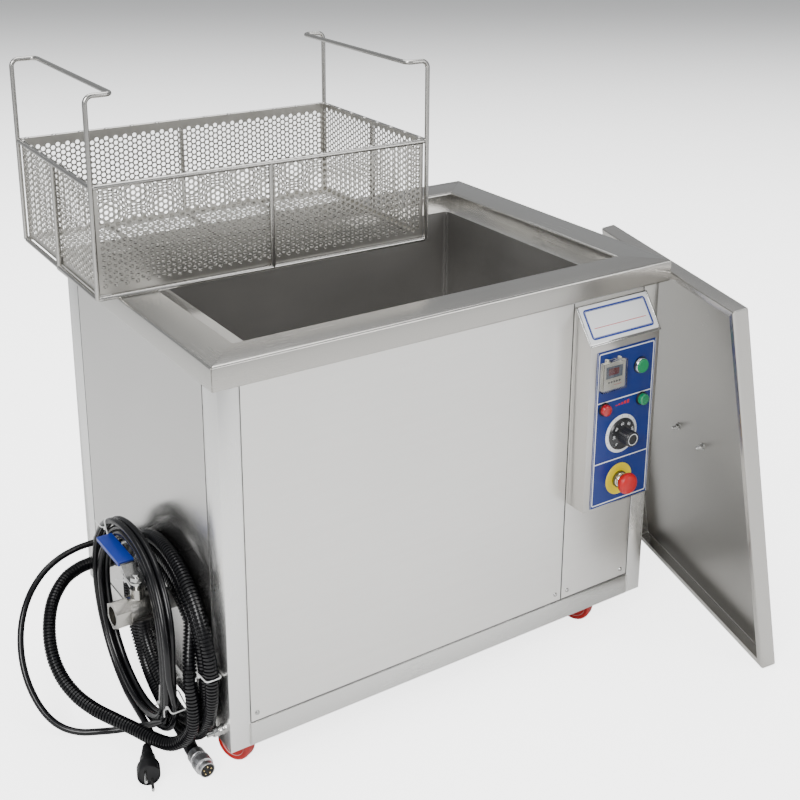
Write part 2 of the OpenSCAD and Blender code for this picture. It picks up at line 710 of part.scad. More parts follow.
module conduit_connector() {
    last = conduit_tail[len(conduit_tail) - 1];
    color([0.75, 0.76, 0.78]) difference() {
        translate([last[0], last[1], last[2]]) rotate([90, 0, 0]) {
            cylinder(d = conduit_d + 5, h = 18);
            translate([0, 0, 18]) cylinder(d = conduit_d + 8, h = 16);
            translate([0, 0, 34]) cylinder(d = conduit_d + 3, h = 10);
        }
        rod_y(last[0], last[2], last[1] - 50, last[1] - 30, 24.2);
    }
    color([0.07, 0.07, 0.07]) {
        rod_y(last[0], last[2], last[1] - 47, last[1] - 30, 24);
        for (a = [45:90:315])
            rod_y(last[0] + 7 * cos(a), last[2] + 7 * sin(a), last[1] - 52, last[1] - 47, 3);
    }
}

// Welded to the post's face, with two nuts and washers.
module earth_stud() color([0.8, 0.8, 0.78]) {
    rod_x(stud_y, stud_z, body_x0 - 26, body_x0, stud_d);
    difference() {
        union() {
            rod_x(stud_y, stud_z, body_x0 - 1.6, body_x0, stud_washer_d);
            hex_x(stud_y, stud_z, body_x0 - 8, body_x0 - 1.6, 13);
            rod_x(stud_y, stud_z, body_x0 - 9.6, body_x0 - 8, stud_washer_d);
            hex_x(stud_y, stud_z, body_x0 - 16, body_x0 - 9.6, 13);
        }
        rod_x(stud_y, stud_z, body_x0 - 30, body_x0 + 12, stud_d);
    }
}

// ---- controls ----

module control_profile(inset) {
    polygon([[control_y + inset, control_z0 + inset], [control_y + inset, control_z1 - inset * 0.3],
        [body_y0, slope_z - inset * 1.3], [body_y0, control_z0 + inset]]);
}

module face_holes(extra) {
    block(timer_x - 22.5 - extra, face_y - 5, timer_z - 22.5 - extra, timer_x + 22.5 + extra, control_y + 5,
        timer_z + 22.5 + extra);
    rod_y(button_x, button_z, face_y - 5, control_y + 5, barrel_d + 2 * screw_fit + extra);
    for (s = [-1, 1])
        rod_y(control_x + s * lamp_gap, lamp_z, face_y - 5, control_y + 5, 14 + 2 * screw_fit + extra);
    rod_y(control_x, dial_z, face_y - 5, control_y + 5, knob_shaft_d + 2 * fit + extra);
    rod_y(control_x, stop_z, face_y - 5, control_y + 5, barrel_d + 2 * screw_fit + extra);
}

module control_box() color([0.62, 0.60, 0.57]) difference() {
    along_x(control_x0, control_x1) control_profile(0);
    along_x(control_x0 + sheet, control_x1 - sheet) control_profile(sheet);
    face_holes(0);
}

module control_overlay() color([0.05, 0.2, 0.55]) difference() {
    block(control_x0 + overlay_left, face_y, control_z0 + 3, control_x1 - overlay_right, control_y,
        control_z1 - 12);
    face_holes(0.2);
}

module nameplate() color([0.95, 0.95, 0.95]) {
    rise = slope_z - control_z1;
    out = 1.5 * unit([-rise, control_out]);
    along_x(control_x0 - 3, control_x1 + 3)
        polygon([[control_y, control_z1], [body_y0, slope_z], [body_y0, slope_z] + out,
            [control_y, control_z1] + out]);
}

module timer() color([0.88, 0.87, 0.80]) difference() {
    union() {
        block(timer_x - timer_w / 2, face_y - 7, timer_z - timer_w / 2, timer_x + timer_w / 2, face_y,
            timer_z + timer_w / 2);
        block(timer_x - 22.2, face_y, timer_z - 22.2, timer_x + 22.2, face_y + 36, timer_z + 22.2);
        for (s = [-1, 1]) difference() {
            block(timer_x + s * 14 - 2, face_y - 5.5, timer_z + timer_w / 2 - 0.01, timer_x + s * 14 + 2,
                face_y,
                hinge_z + 2.6);
            rod_x(hinge_y, hinge_z, timer_x + s * 14 - 3, timer_x + s * 14 + 3, hinge_d + 2 * run);
        }
    }
    block(timer_x - 18, face_y - 8, timer_z - 4, timer_x + 18, face_y - 6, timer_z + 17);
}

// Clear cover over the timer's face, on a pin along its top.
module timer_cover() color([0.75, 0.8, 0.85, 0.6]) {
    half = timer_w / 2 + 1;
    front = face_y - 9;
    difference() {
        block(timer_x - half - 1.2, front - 1.5, timer_z - half - 1.2, timer_x + half + 1.2, face_y - 1,
            timer_z + half);
        block(timer_x - half, front, timer_z - half, timer_x + half, face_y, timer_z + half + 3);
    }
    block(timer_x - 11.5, front - 1.5, timer_z + half - 3, timer_x + 11.5, front, hinge_z + 1.2);
    block(timer_x - 11.5, front - 0.1, hinge_z - 1.2, timer_x + 11.5, hinge_y, hinge_z + 1.2);
    rod_x(hinge_y, hinge_z, timer_x - 16, timer_x + 16, hinge_d);
}

module start_bezel() color([0.15, 0.15, 0.15]) difference() {
    union() {
        rod_y(button_x, button_z, face_y - 6, face_y, bezel_d);
        rod_y(button_x, button_z, face_y, face_y + 30, barrel_d);
    }
    rod_y(button_x, button_z, face_y - 7, face_y - 0.4, 24);
    rod_y(button_x, button_z, face_y - 1, face_y + 31, start_stem_d + 2 * run);
}

module start_button() color([0.1, 0.65, 0.35]) {
    rod_y(button_x, button_z, face_y - 8.5, face_y - 4.8, 23.4);
    rod_y(button_x, button_z, face_y - 4.9, face_y + 20, start_stem_d);
}

module lamp(x) {
    difference() {
        union() {
            rod_y(x, lamp_z, face_y - 3, face_y, lamp_d + 4);
            rod_y(x, lamp_z, face_y, face_y + 26, 14);
        }
        rod_y(x, lamp_z, face_y - 4, face_y - 1, lamp_d);
    }
    rod_y(x, lamp_z, face_y - 11, face_y - 1, lamp_d);
}

module red_lamp() color([0.85, 0.1, 0.1]) lamp(control_x - lamp_gap);
module green_lamp() color([0.1, 0.7, 0.4]) lamp(control_x + lamp_gap);

module dial_plate() color([0.9, 0.9, 0.9]) difference() {
    rod_y(control_x, dial_z, face_y - 1, face_y, dial_d);
    rod_y(control_x, dial_z, face_y - 2, face_y + 1, knob_shaft_d + 2 * fit);
}

module heat_knob() color([0.07, 0.07, 0.07]) difference() {
    union() {
        rod_y(control_x, dial_z, face_y - 6, face_y - 1 - fit, skirt_d);
        rod_y(control_x, dial_z, face_y - 30, face_y - 5.9, knob_d);
        rod_y(control_x, dial_z, face_y - 6, control_y + 15, knob_shaft_d);
    }
    block(control_x - 1, face_y - 31, dial_z + 4, control_x + 1, face_y - 29.2, dial_z + knob_d / 2 - 2);
}

module stop_collar() {
    color([0.95, 0.8, 0.05]) difference() {
        rod_y(control_x, stop_z, face_y - 1.5, face_y, stop_ring_d);
        rod_y(control_x, stop_z, face_y - 3, face_y + 1, barrel_d + 2 * screw_fit);
    }
    color([0.1, 0.1, 0.1]) difference() {
        union() {
            rod_y(control_x, stop_z, face_y - 11, face_y - 1.5, 30);
            rod_y(control_x, stop_z, face_y - 1.6, face_y + 30, barrel_d);
        }
        rod_y(control_x, stop_z, face_y - 12, face_y + 31, stop_stem_d + 2 * run);
    }
}

module stop_stem() color([0.2, 0.2, 0.2]) {
    rod_y(control_x, stop_z, face_y - 18, face_y + 24, stop_stem_d);
    rod_y(control_x, stop_z, face_y - 26, face_y - 17.9, 10);
}

module stop_head() color([0.8, 0.08, 0.08]) difference() {
    translate([control_x, face_y - 18.2, stop_z]) rotate([90, 0, 0]) rotate_extrude($fn = 64)
        polygon(concat([[0, 0], [stop_head_d / 2 - 2, 0], [stop_head_d / 2, 3], [stop_head_d / 2, 7]],
            [for (a = [15:15:90]) [stop_head_d / 2 * cos(a), 7 + 7 * sin(a)]]));
    rod_y(control_x, stop_z, face_y - 26.3, face_y - 18, 10 + 2 * run);
}

// ---- casters ----

module caster_screws(i, j, d, z0, z1) {
    for (x = [-23, 23]) for (y = [-23, 23])
        translate([swivel_x[i] + x, swivel_y[j] + y, z0]) cylinder(d = d, h = z1 - z0);
}

// Top plate, raceway, swivel pin with its head below the fork, and the four screws with their nuts.
module caster_plate(i, j) {
    translate([swivel_x[i], swivel_y[j], 0]) {
        translate([-30, -30, shelf_z - 2.5]) cube([60, 60, 2.5]);
        translate([0, 0, bridge_z + 4 + run]) cylinder(d = 44, h = shelf_z - 2.4 - bridge_z - 4 - run);
        translate([0, 0, bridge_z - 1]) cylinder(d = kingpin_d, h = shelf_z - bridge_z - 1);
        translate([0, 0, bridge_z - 3.5]) cylinder(d = 18, h = 3.5 - run);
    }
    caster_screws(i, j, 6, shelf_z - 2.4, shelf_z + 8);
    difference() {
        caster_screws(i, j, 10 / cos(30), shelf_z + 3, shelf_z + 7.5, $fn = 6);
        caster_screws(i, j, 6, shelf_z, shelf_z + 9);
    }
}

module caster_plates() color([0.7, 0.7, 0.72]) for (i = [0, 1]) for (j = [0, 1]) caster_plate(i, j);

module at_caster(i, j) {
    translate([swivel_x[i], swivel_y[j], 0]) rotate([0, 0, toe]) children();
}

// A fork with its wheel trailing along +X of its own turn.
module fork(i, j) color([0.72, 0.72, 0.74]) at_caster(i, j) difference() {
    leg_t = 2.5;
    half = wheel_w / 2 + 1.2;
    union() {
        translate([-16, -half - leg_t, bridge_z]) cube([44, 2 * (half + leg_t), 4]);
        translate([0, 0, bridge_z]) cylinder(d = 40, h = 4);
        for (s = [0, 1]) mirror([0, s, 0]) {
            translate([0, half, 0]) rotate([90, 0, 0]) mirror([0, 0, 1]) linear_extrude(leg_t)
                polygon([[-8, bridge_z + 4], [28, bridge_z + 4], [28, bridge_z - 6], [trail + 8, axle_z],
                    [trail + 5, axle_z - 7], [trail - 5, axle_z - 7], [trail - 8, axle_z]]);
            translate([trail, half + leg_t, axle_z]) rotate([-90, 0, 0])
                cylinder(d = 13 / cos(30), h = 3, $fn = 6);
        }
        translate([trail, -half - leg_t, axle_z]) rotate([-90, 0, 0])
            cylinder(d = axle_d, h = 2 * (half + leg_t));
    }
    translate([0, 0, bridge_z - 5]) cylinder(d = kingpin_d + 2 * run, h = 12);
}

module wheel(i, j) at_caster(i, j) translate([trail, 0, axle_z]) rotate([90, 0, 0]) {
    rim_r = wheel_d / 2 - 8;
    color([0.75, 0.75, 0.75]) difference() {
        union() {
            cylinder(r = rim_r, h = wheel_w - 4, center = true);
            cylinder(d = axle_d + 10, h = wheel_w, center = true);
        }
        cylinder(d = axle_d + 2 * run, h = wheel_w + 2, center = true);
    }
    color([0.85, 0.2, 0.12]) rotate_extrude($fn = 64) polygon([[rim_r, -wheel_w / 2 + 1],
        [wheel_d / 2 - 3, -wheel_w / 2], [wheel_d / 2, -wheel_w / 2 + 4], [wheel_d / 2, wheel_w / 2 - 4],
        [wheel_d / 2 - 3, wheel_w / 2], [rim_r, wheel_w / 2 - 1]]);
}

module fork_front_left() fork(0, 0);
module fork_front_right() fork(1, 0);
module fork_rear_left() fork(0, 1);
module fork_rear_right() fork(1, 1);
module wheel_front_left() wheel(0, 0);
module wheel_front_right() wheel(1, 0);
module wheel_rear_left() wheel(0, 1);
module wheel_rear_right() wheel(1, 1);

// ---- basket ----

module at_basket() {
    translate([basket_x, basket_y, basket_z]) rotate([0, 0, basket_turn]) children();
}

module bar(a, b, d) {
    v = b - a;
    translate(a) rotate([0, acos(v[2] / norm(v)), atan2(v[1], v[0])]) cylinder(d = d, h = norm(v));
}

module basket_frame() color([0.78, 0.78, 0.76]) at_basket() {
    for (z = [low, high]) {
        for (s = [-1, 1]) {
            bar([-half_l, s * half_w, z], [half_l, s * half_w, z], rod_d);
            bar([s * half_l, -half_w, z], [s * half_l, half_w, z], rod_d);
        }
        for (x = [-half_l, half_l]) for (y = [-half_w, half_w]) translate([x, y, z]) sphere(d = rod_d);
    }
    for (x = [-half_l, half_l]) for (y = [-half_w, half_w]) bar([x, y, low], [x, y, upright_top], rod_d);
    for (s = [-1, 1]) {
        bar([0, s * half_w, low], [0, s * half_w, high], rod_d);
        bar([s * half_l, 0, low], [s * half_l, 0, high], rod_d);
    }
    for (x = [-half_l / 2, 0, half_l / 2]) bar([x, -half_w, low], [x, half_w, low], rod_d);
}

// Welded on the frame's corner uprights, they go on up and fold in to a grip at each end.
module basket_handles() color([0.78, 0.78, 0.76]) at_basket() for (s = [-1, 1]) {
    bend = 18;
    top = grip_h - rod_d / 2;
    for (y = [-half_w, half_w]) {
        bar([s * half_l, y, upright_top], [s * half_l, y, top - bend], rod_d);
        translate([s * (half_l - bend), y, top - bend]) rotate([90, 0, 0]) rotate([0, 0, s > 0 ? 0 : 90])
            rotate_extrude(angle = 90) translate([bend, 0]) circle(d = rod_d);
        bar([s * (half_l - bend), y, top], [s * (half_l - grip_in), y, top], rod_d);
        translate([s * (half_l - grip_in), y, top]) sphere(d = rod_d);
    }
    bar([s * (half_l - grip_in), -half_w, top], [s * (half_l - grip_in), half_w, top], rod_d);
}

// The sheets stand just inside the rods. They are plain here.
module basket_sheets() color([0.7, 0.7, 0.68]) at_basket() {
    x = half_l - rod_d / 2 - fit;
    y = half_w - rod_d / 2 - fit;
    z0 = rod_d + fit;
    difference() {
        block(-x, -y, z0, x, y, basket_h - 1);
        block(-x + basket_t, -y + basket_t, z0 + basket_t, x - basket_t, y - basket_t, basket_h);
    }
}

// ---- lid ----

// Brings the lid from flat, lower edge along X and inner side down, to where it leans.
module at_lid() {
    translate([lean_x, lean_y, 0]) rotate([0, 0, -lid_turn]) translate([lean_out, -lid_back, 0])
        rotate([0, -lid_lean, 0]) children();
}

// Its own frame there: X away from the cabinet, Y along the lower edge, Z up its length.
module lid_pan() color([0.78, 0.78, 0.76]) at_lid() difference() {
    block(0, 0, 0, lid_h, lid_w, lid_l);
    block(lid_t, lid_t, lid_t, lid_h - lid_t, lid_w - lid_t, lid_l - lid_t);
    block(-1, lid_lip, lid_lip, lid_t + 1, lid_w - lid_lip, lid_l - lid_lip);
    for (y = lid_holes) translate([lid_h - 5, y, lid_l / 2]) rotate([0, 90, 0])
        cylinder(d = lid_screw_d + 2 * screw_fit, h = 10);
}

module lid_handle() color([0.2, 0.2, 0.2]) at_lid() {
    grip = 34;
    for (y = lid_holes) translate([lid_h, y, lid_l / 2]) rotate([0, 90, 0])
        cylinder(d = lid_grip_d, h = grip);
    translate([lid_h + grip, lid_holes[0], lid_l / 2]) sphere(d = lid_grip_d);
    translate([lid_h + grip, lid_holes[1], lid_l / 2]) sphere(d = lid_grip_d);
    translate([lid_h + grip, lid_holes[0], lid_l / 2]) rotate([-90, 0, 0])
        cylinder(d = lid_grip_d, h = lid_hole_gap);
    for (y = lid_holes) translate([lid_h - 10, y, lid_l / 2]) rotate([0, 90, 0])
        cylinder(d = lid_screw_d, h = 10.1);
}

module lid_nuts() color([0.85, 0.85, 0.85]) at_lid() for (y = lid_holes) difference() {
    union() {
        translate([lid_h - lid_t - 1.2, y, lid_l / 2]) rotate([0, 90, 0]) cylinder(d = 14, h = 1.2);
        translate([lid_h - lid_t - 6.2, y, lid_l / 2]) rotate([0, 90, 0])
            cylinder(d = 10 / cos(30), h = 5, $fn = 6);
    }
    translate([lid_h - 20, y, lid_l / 2]) rotate([0, 90, 0]) cylinder(d = lid_screw_d + 2 * run, h = 30);
}

corner_posts();
bottom_rails();
top_rails();
panel_mullion();
front_panel();
access_panel();
left_panel();
right_panel();
rear_panel();
panel_screws();
rim();
tank();
transducers();
heater_pads();
thermostat();
terminal_block();
drain_pipe();
valve_body();
valve_ball();
valve_lever();
lever_sleeve();
cable_gland();
conduit_gland();
power_cable();
power_cable_coil();
mains_plug();
conduit();
conduit_coil();
conduit_connector();
cable_ties();
earth_stud();
control_box();
nameplate();
control_overlay();
timer();
timer_cover();
start_bezel();
start_button();
red_lamp();
green_lamp();
dial_plate();
heat_knob();
stop_collar();
stop_stem();
stop_head();
caster_plates();
fork_front_left();
fork_front_right();
fork_rear_left();
fork_rear_right();
wheel_front_left();
wheel_front_right();
wheel_rear_left();
wheel_rear_right();
basket_frame();
basket_sheets();
basket_handles();
lid_pan();
lid_handle();
lid_nuts();
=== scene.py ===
import bpy
import json
import math
from mathutils import Matrix, Vector


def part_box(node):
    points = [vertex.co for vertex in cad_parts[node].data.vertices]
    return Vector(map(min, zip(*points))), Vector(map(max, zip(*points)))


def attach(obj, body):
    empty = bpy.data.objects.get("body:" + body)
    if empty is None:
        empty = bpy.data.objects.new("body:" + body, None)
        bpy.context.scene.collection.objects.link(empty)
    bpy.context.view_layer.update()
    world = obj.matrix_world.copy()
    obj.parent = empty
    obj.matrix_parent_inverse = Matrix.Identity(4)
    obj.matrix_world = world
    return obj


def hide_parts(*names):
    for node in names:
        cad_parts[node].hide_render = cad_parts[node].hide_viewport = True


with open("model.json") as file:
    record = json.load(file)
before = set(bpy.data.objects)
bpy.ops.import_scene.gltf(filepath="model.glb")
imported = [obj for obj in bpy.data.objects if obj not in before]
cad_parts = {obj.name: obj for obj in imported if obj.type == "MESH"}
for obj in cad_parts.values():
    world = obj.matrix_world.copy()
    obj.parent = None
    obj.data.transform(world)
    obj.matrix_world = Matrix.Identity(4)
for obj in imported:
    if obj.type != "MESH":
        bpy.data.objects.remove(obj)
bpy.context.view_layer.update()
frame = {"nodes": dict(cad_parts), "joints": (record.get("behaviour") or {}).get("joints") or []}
print("stage: frame loaded")

view = {
    "place": (-1.1744, -1.7351, 1.4023),
    "heading": 33.49,       # degrees from straight back towards the right
    "down": 17.58,
    "roll": 0.27,
    "lens": 58.75,
    "sensor": 36,
    "shift": -0.2,
    "clip": (0.05, 60),
}
bpy.ops.object.camera_add()
camera = bpy.context.object
camera.name = "photoCamera"
camera.data.lens = view["lens"]
camera.data.sensor_width = view["sensor"]
camera.data.shift_y = view["shift"]
camera.data.clip_start, camera.data.clip_end = view["clip"]
turns = (Matrix.Rotation(math.radians(-view["heading"]), 4, "Z"),
         Matrix.Rotation(math.radians(90 - view["down"]), 4, "X"),
         Matrix.Rotation(math.radians(view["roll"]), 4, "Z"))
camera.matrix_world = Matrix.Translation(view["place"]) @ turns[0] @ turns[1] @ turns[2]
bpy.context.scene.camera = camera


def clearPick():
    if bpy.context.object and bpy.context.object.mode != "OBJECT":
        bpy.ops.object.mode_set(mode="OBJECT")
    bpy.ops.object.select_all(action="DESELECT")


def pick(*objs):
    clearPick()
    for o in objs:
        o.select_set(True)
    bpy.context.view_layer.objects.active = objs[0]
    return objs[0]


def settle(obj):
    pick(obj)
    bpy.ops.object.transform_apply(location=True, rotation=True, scale=True)
    return obj


def applyAll(obj):
    pick(obj)
    for m in list(obj.modifiers):
        bpy.ops.object.modifier_apply(modifier=m.name)
    return obj


def addBox(name, lo, hi):
    clearPick()
    bpy.ops.mesh.primitive_cube_add(size=1, location=[(a + b) / 2 for a, b in zip(lo, hi)])
    obj = bpy.context.object
    obj.name = name
    obj.scale = [abs(b - a) for a, b in zip(lo, hi)]
    return settle(obj)


def roundEdges(obj, width, segments=2, angle=30):
    m = obj.modifiers.new("round", "BEVEL")
    m.width, m.segments, m.limit_method, m.angle_limit = width, segments, "ANGLE", math.radians(angle)
    return applyAll(obj)


def smooth(obj, angle=35):
    pick(obj)
    bpy.ops.object.shade_smooth_by_angle(angle=math.radians(angle))
    return obj


def joinAs(name, objs):
    first = pick(*objs)
    if len(objs) > 1:
        bpy.ops.object.join()
    first.name = name
    first.data.name = name
    return first


def copyOf(obj, name, matrix):
    new = obj.copy()
    new.data = obj.data.copy()
    new.name = name
    bpy.context.scene.collection.objects.link(new)
    new.matrix_world = matrix
    return settle(new)


# Leaves edit mode on, with the faces that pass the test selected.
def pickFaces(obj, test):
    pick(obj)
    bpy.ops.object.mode_set(mode="EDIT")
    bpy.ops.mesh.select_mode(type="FACE")
    bpy.ops.mesh.select_all(action="DESELECT")
    bpy.ops.object.mode_set(mode="OBJECT")
    for f in obj.data.polygons:
        f.select = bool(test(f.center, f.normal))
    bpy.ops.object.mode_set(mode="EDIT")


# Presses the picked faces in by a depth and leaves edit mode.
def sinkFaces(depth):
    bpy.ops.mesh.extrude_region_shrink_fatten(TRANSFORM_OT_shrink_fatten={"value": -depth})
    bpy.ops.object.mode_set(mode="OBJECT")


def outwards(obj):
    pick(obj)
    bpy.ops.object.mode_set(mode="EDIT")
    bpy.ops.mesh.select_all(action="SELECT")
    bpy.ops.mesh.remove_doubles(threshold=1e-6)
    bpy.ops.mesh.normals_make_consistent(inside=False)
    bpy.ops.object.mode_set(mode="OBJECT")
    return obj


# A round piece from rings of (radius, height), its axis from base towards a direction.
def turned(name, rings, base, towards, sides=40):
    clearPick()
    bpy.ops.mesh.primitive_circle_add(vertices=sides, radius=rings[0][0], fill_type="NGON",
                                      location=(0, 0, rings[0][1]))
    obj = bpy.context.object
    obj.name = name
    settle(obj)
    bpy.ops.object.mode_set(mode="EDIT")
    bpy.ops.mesh.select_mode(type="FACE")
    bpy.ops.mesh.select_all(action="SELECT")
    for (r0, h0), (r1, h1) in zip(rings, rings[1:]):
        bpy.ops.mesh.extrude_region_move(TRANSFORM_OT_translate={"value": (0, 0, h1 - h0)})
        if abs(r1 - r0) > 1e-9:
            bpy.ops.transform.resize(value=(r1 / r0, r1 / r0, 1), center_override=(0, 0, h1))
    bpy.ops.object.mode_set(mode="OBJECT")
    outwards(obj)
    obj.matrix_world = Matrix.Translation(base) @ Vector(towards).to_track_quat("Z", "Y").to_matrix().to_4x4()
    return settle(obj)


# A copy of a CAD node with its loose triangles joined and its edges rounded.
def softened(node, name, width, segments=2, angle=30):
    new = frame["nodes"][node].copy()
    new.data = frame["nodes"][node].data.copy()
    for k in list(new.keys()):
        del new[k]
    new.parent = None
    new.name = name
    bpy.context.scene.collection.objects.link(new)
    pick(new)
    bpy.ops.mesh.customdata_custom_splitnormals_clear()
    bpy.ops.object.mode_set(mode="EDIT")
    bpy.ops.mesh.select_all(action="SELECT")
    bpy.ops.mesh.remove_doubles(threshold=1e-5)
    bpy.ops.mesh.dissolve_limited(angle_limit=math.radians(1))
    bpy.ops.object.mode_set(mode="OBJECT")
    return roundEdges(new, width, segments, angle) if width else new


def dress(obj, material, body, angle=35, stands=()):
    smooth(obj, angle)
    if material:
        obj.data.materials.clear()
        obj.data.materials.append(material)
    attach(obj, body)
    if stands:
        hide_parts(*stands)
    return obj


def paint(nodeNames, material):
    for n in nodeNames:
        mesh = frame["nodes"][n].data
        mesh.materials.clear()
        mesh.materials.append(material)


def newGroup(name, inputs, outputs):
    group = bpy.data.node_groups.new(name, "ShaderNodeTree")
    for label, kind, value in inputs:
        s = group.interface.new_socket(label, in_out="INPUT", socket_type=kind)
        if value is not None:
            s.default_value = value
    for label, kind in outputs:
        group.interface.new_socket(label, in_out="OUTPUT", socket_type=kind)
    return group, group.nodes.new("NodeGroupInput"), group.nodes.new("NodeGroupOutput")


def addNode(tree, kind, **values):
    n = tree.nodes.new(kind)
    for k, v in values.items():
        setattr(n, k, v)
    return n


def mathNode(tree, op, a, b=None, clamp=False):
    n = addNode(tree, "ShaderNodeMath", operation=op, use_clamp=clamp)
    for i, v in enumerate([a, b]):
        if v is None:
            continue
        if isinstance(v, (int, float)):
            n.inputs[i].default_value = v
        else:
            tree.links.new(v, n.inputs[i])
    return n.outputs[0]


# Fine parallel scratches: stretched noise gives a height and a streak value.
def grainGroup():
    g, gin, gout = newGroup("brushedGrain",
                            [("Vector", "NodeSocketVector", None), ("Stretch", "NodeSocketVector", (1, 1, 1)),
                             ("Scale", "NodeSocketFloat", 400)],
                            [("Height", "NodeSocketFloat"), ("Streak", "NodeSocketFloat")])
    m = addNode(g, "ShaderNodeVectorMath", operation="MULTIPLY")
    g.links.new(gin.outputs["Vector"], m.inputs[0])
    g.links.new(gin.outputs["Stretch"], m.inputs[1])
    fine = addNode(g, "ShaderNodeTexNoise")
    fine.inputs["Detail"].default_value = 5
    fine.inputs["Roughness"].default_value = 0.7
    g.links.new(m.outputs[0], fine.inputs["Vector"])
    g.links.new(gin.outputs["Scale"], fine.inputs["Scale"])
    broad = addNode(g, "ShaderNodeTexNoise")
    broad.inputs["Detail"].default_value = 3
    g.links.new(m.outputs[0], broad.inputs["Vector"])
    g.links.new(mathNode(g, "MULTIPLY", gin.outputs["Scale"], 0.12), broad.inputs["Scale"])
    g.links.new(fine.outputs["Fac"], gout.inputs["Height"])
    g.links.new(mathNode(g, "ADD", mathNode(g, "MULTIPLY", fine.outputs["Fac"], 0.5),
                         mathNode(g, "MULTIPLY", broad.outputs["Fac"], 0.5)), gout.inputs["Streak"])
    return g


# Soft clouds of handling marks, from 0 for clean to 1.
def cloudGroup():
    g, gin, gout = newGroup("handlingClouds",
                            [("Vector", "NodeSocketVector", None), ("Scale", "NodeSocketFloat", 5),
                             ("Low", "NodeSocketFloat", 0.4), ("High", "NodeSocketFloat", 0.7)],
                            [("Mask", "NodeSocketFloat")])
    n = addNode(g, "ShaderNodeTexNoise")
    n.inputs["Detail"].default_value = 4
    n.inputs["Distortion"].default_value = 0.3
    g.links.new(gin.outputs["Vector"], n.inputs["Vector"])
    g.links.new(gin.outputs["Scale"], n.inputs["Scale"])
    r = addNode(g, "ShaderNodeMapRange")
    g.links.new(n.outputs["Fac"], r.inputs["Value"])
    g.links.new(gin.outputs["Low"], r.inputs["From Min"])
    g.links.new(gin.outputs["High"], r.inputs["From Max"])
    g.links.new(r.outputs[0], gout.inputs["Mask"])
    return g


# Small pores of a moulded or cast skin.
def poreGroup():
    g, gin, gout = newGroup("mouldedSkin",
                            [("Vector", "NodeSocketVector", None), ("Scale", "NodeSocketFloat", 900)],
                            [("Height", "NodeSocketFloat")])
    n = addNode(g, "ShaderNodeTexNoise")
    n.inputs["Detail"].default_value = 3
    v = addNode(g, "ShaderNodeTexVoronoi")
    for t in (n, v):
        g.links.new(gin.outputs["Vector"], t.inputs["Vector"])
        g.links.new(gin.outputs["Scale"], t.inputs["Scale"])
    g.links.new(mathNode(g, "ADD", n.outputs["Fac"], mathNode(g, "MULTIPLY", v.outputs["Distance"], 0.4)),
                gout.inputs["Height"])
    return g


groups = {"grain": grainGroup(), "cloud": cloudGroup(), "pore": poreGroup()}


def startMaterial(name):
    mat = bpy.data.materials.new(name)
    mat.use_nodes = True
    tree = mat.node_tree
    shader = tree.nodes["Principled BSDF"]
    coords = addNode(tree, "ShaderNodeTexCoord").outputs["Object"]
    return mat, tree, shader, coords


def useGroup(tree, key, coords, **values):
    n = tree.nodes.new("ShaderNodeGroup")
    n.node_tree = groups[key]
    tree.links.new(coords, n.inputs["Vector"])
    for k, v in values.items():
        n.inputs[k].default_value = v
    return n


def mixColor(tree, mask, a, b):
    m = addNode(tree, "ShaderNodeMix", data_type="RGBA")
    tree.links.new(mask, m.inputs["Factor"])
    for socket, v in ((m.inputs["A"], a), (m.inputs["B"], b)):
        if hasattr(v, "is_linked"):
            tree.links.new(v, socket)
        else:
            socket.default_value = (*v, 1)
    return m.outputs["Result"]


def bumpOf(tree, shader, height, strength, distance):
    b = addNode(tree, "ShaderNodeBump")
    b.inputs["Strength"].default_value = strength
    b.inputs["Distance"].default_value = distance
    tree.links.new(height, b.inputs["Height"])
    tree.links.new(b.outputs["Normal"], shader.inputs["Normal"])


brushed = {"cloudSize": 4, "cloudLow": 0.35, "cloudHigh": 0.75, "fade": 0.93, "fadeShare": 0.35,
           "depth": 0.0002}


# Sheet and bar metal: a brushed grain along one axis, with light handling marks.
def metal(name, tone, rough, stretch=(1, 1, 1), scale=400, spread=0.08, bump=0.12, dark=0.86, marks=0.06):
    mat, tree, shader, coords = startMaterial(name)
    shader.inputs["Metallic"].default_value = 1
    grain = useGroup(tree, "grain", coords, Stretch=stretch, Scale=scale)
    cloud = useGroup(tree, "cloud", coords, Scale=brushed["cloudSize"], Low=brushed["cloudLow"],
                     High=brushed["cloudHigh"])
    worn = mixColor(tree, grain.outputs["Streak"], [t * dark for t in tone], tone)
    share = mathNode(tree, "MULTIPLY", cloud.outputs["Mask"], brushed["fadeShare"])
    faded = mixColor(tree, share, worn, [t * brushed["fade"] for t in tone])
    tree.links.new(faded, shader.inputs["Base Color"])
    r = mathNode(tree, "ADD", mathNode(tree, "MULTIPLY", grain.outputs["Streak"], spread), rough - spread / 2)
    r = mathNode(tree, "ADD", r, mathNode(tree, "MULTIPLY", cloud.outputs["Mask"], marks), clamp=True)
    tree.links.new(r, shader.inputs["Roughness"])
    bumpOf(tree, shader, grain.outputs["Height"], bump, brushed["depth"])
    return mat


skinned = {"cloudSize": 14, "cloudLow": 0.35, "cloudHigh": 0.7, "coatRough": 0.08, "depth": 0.0001}


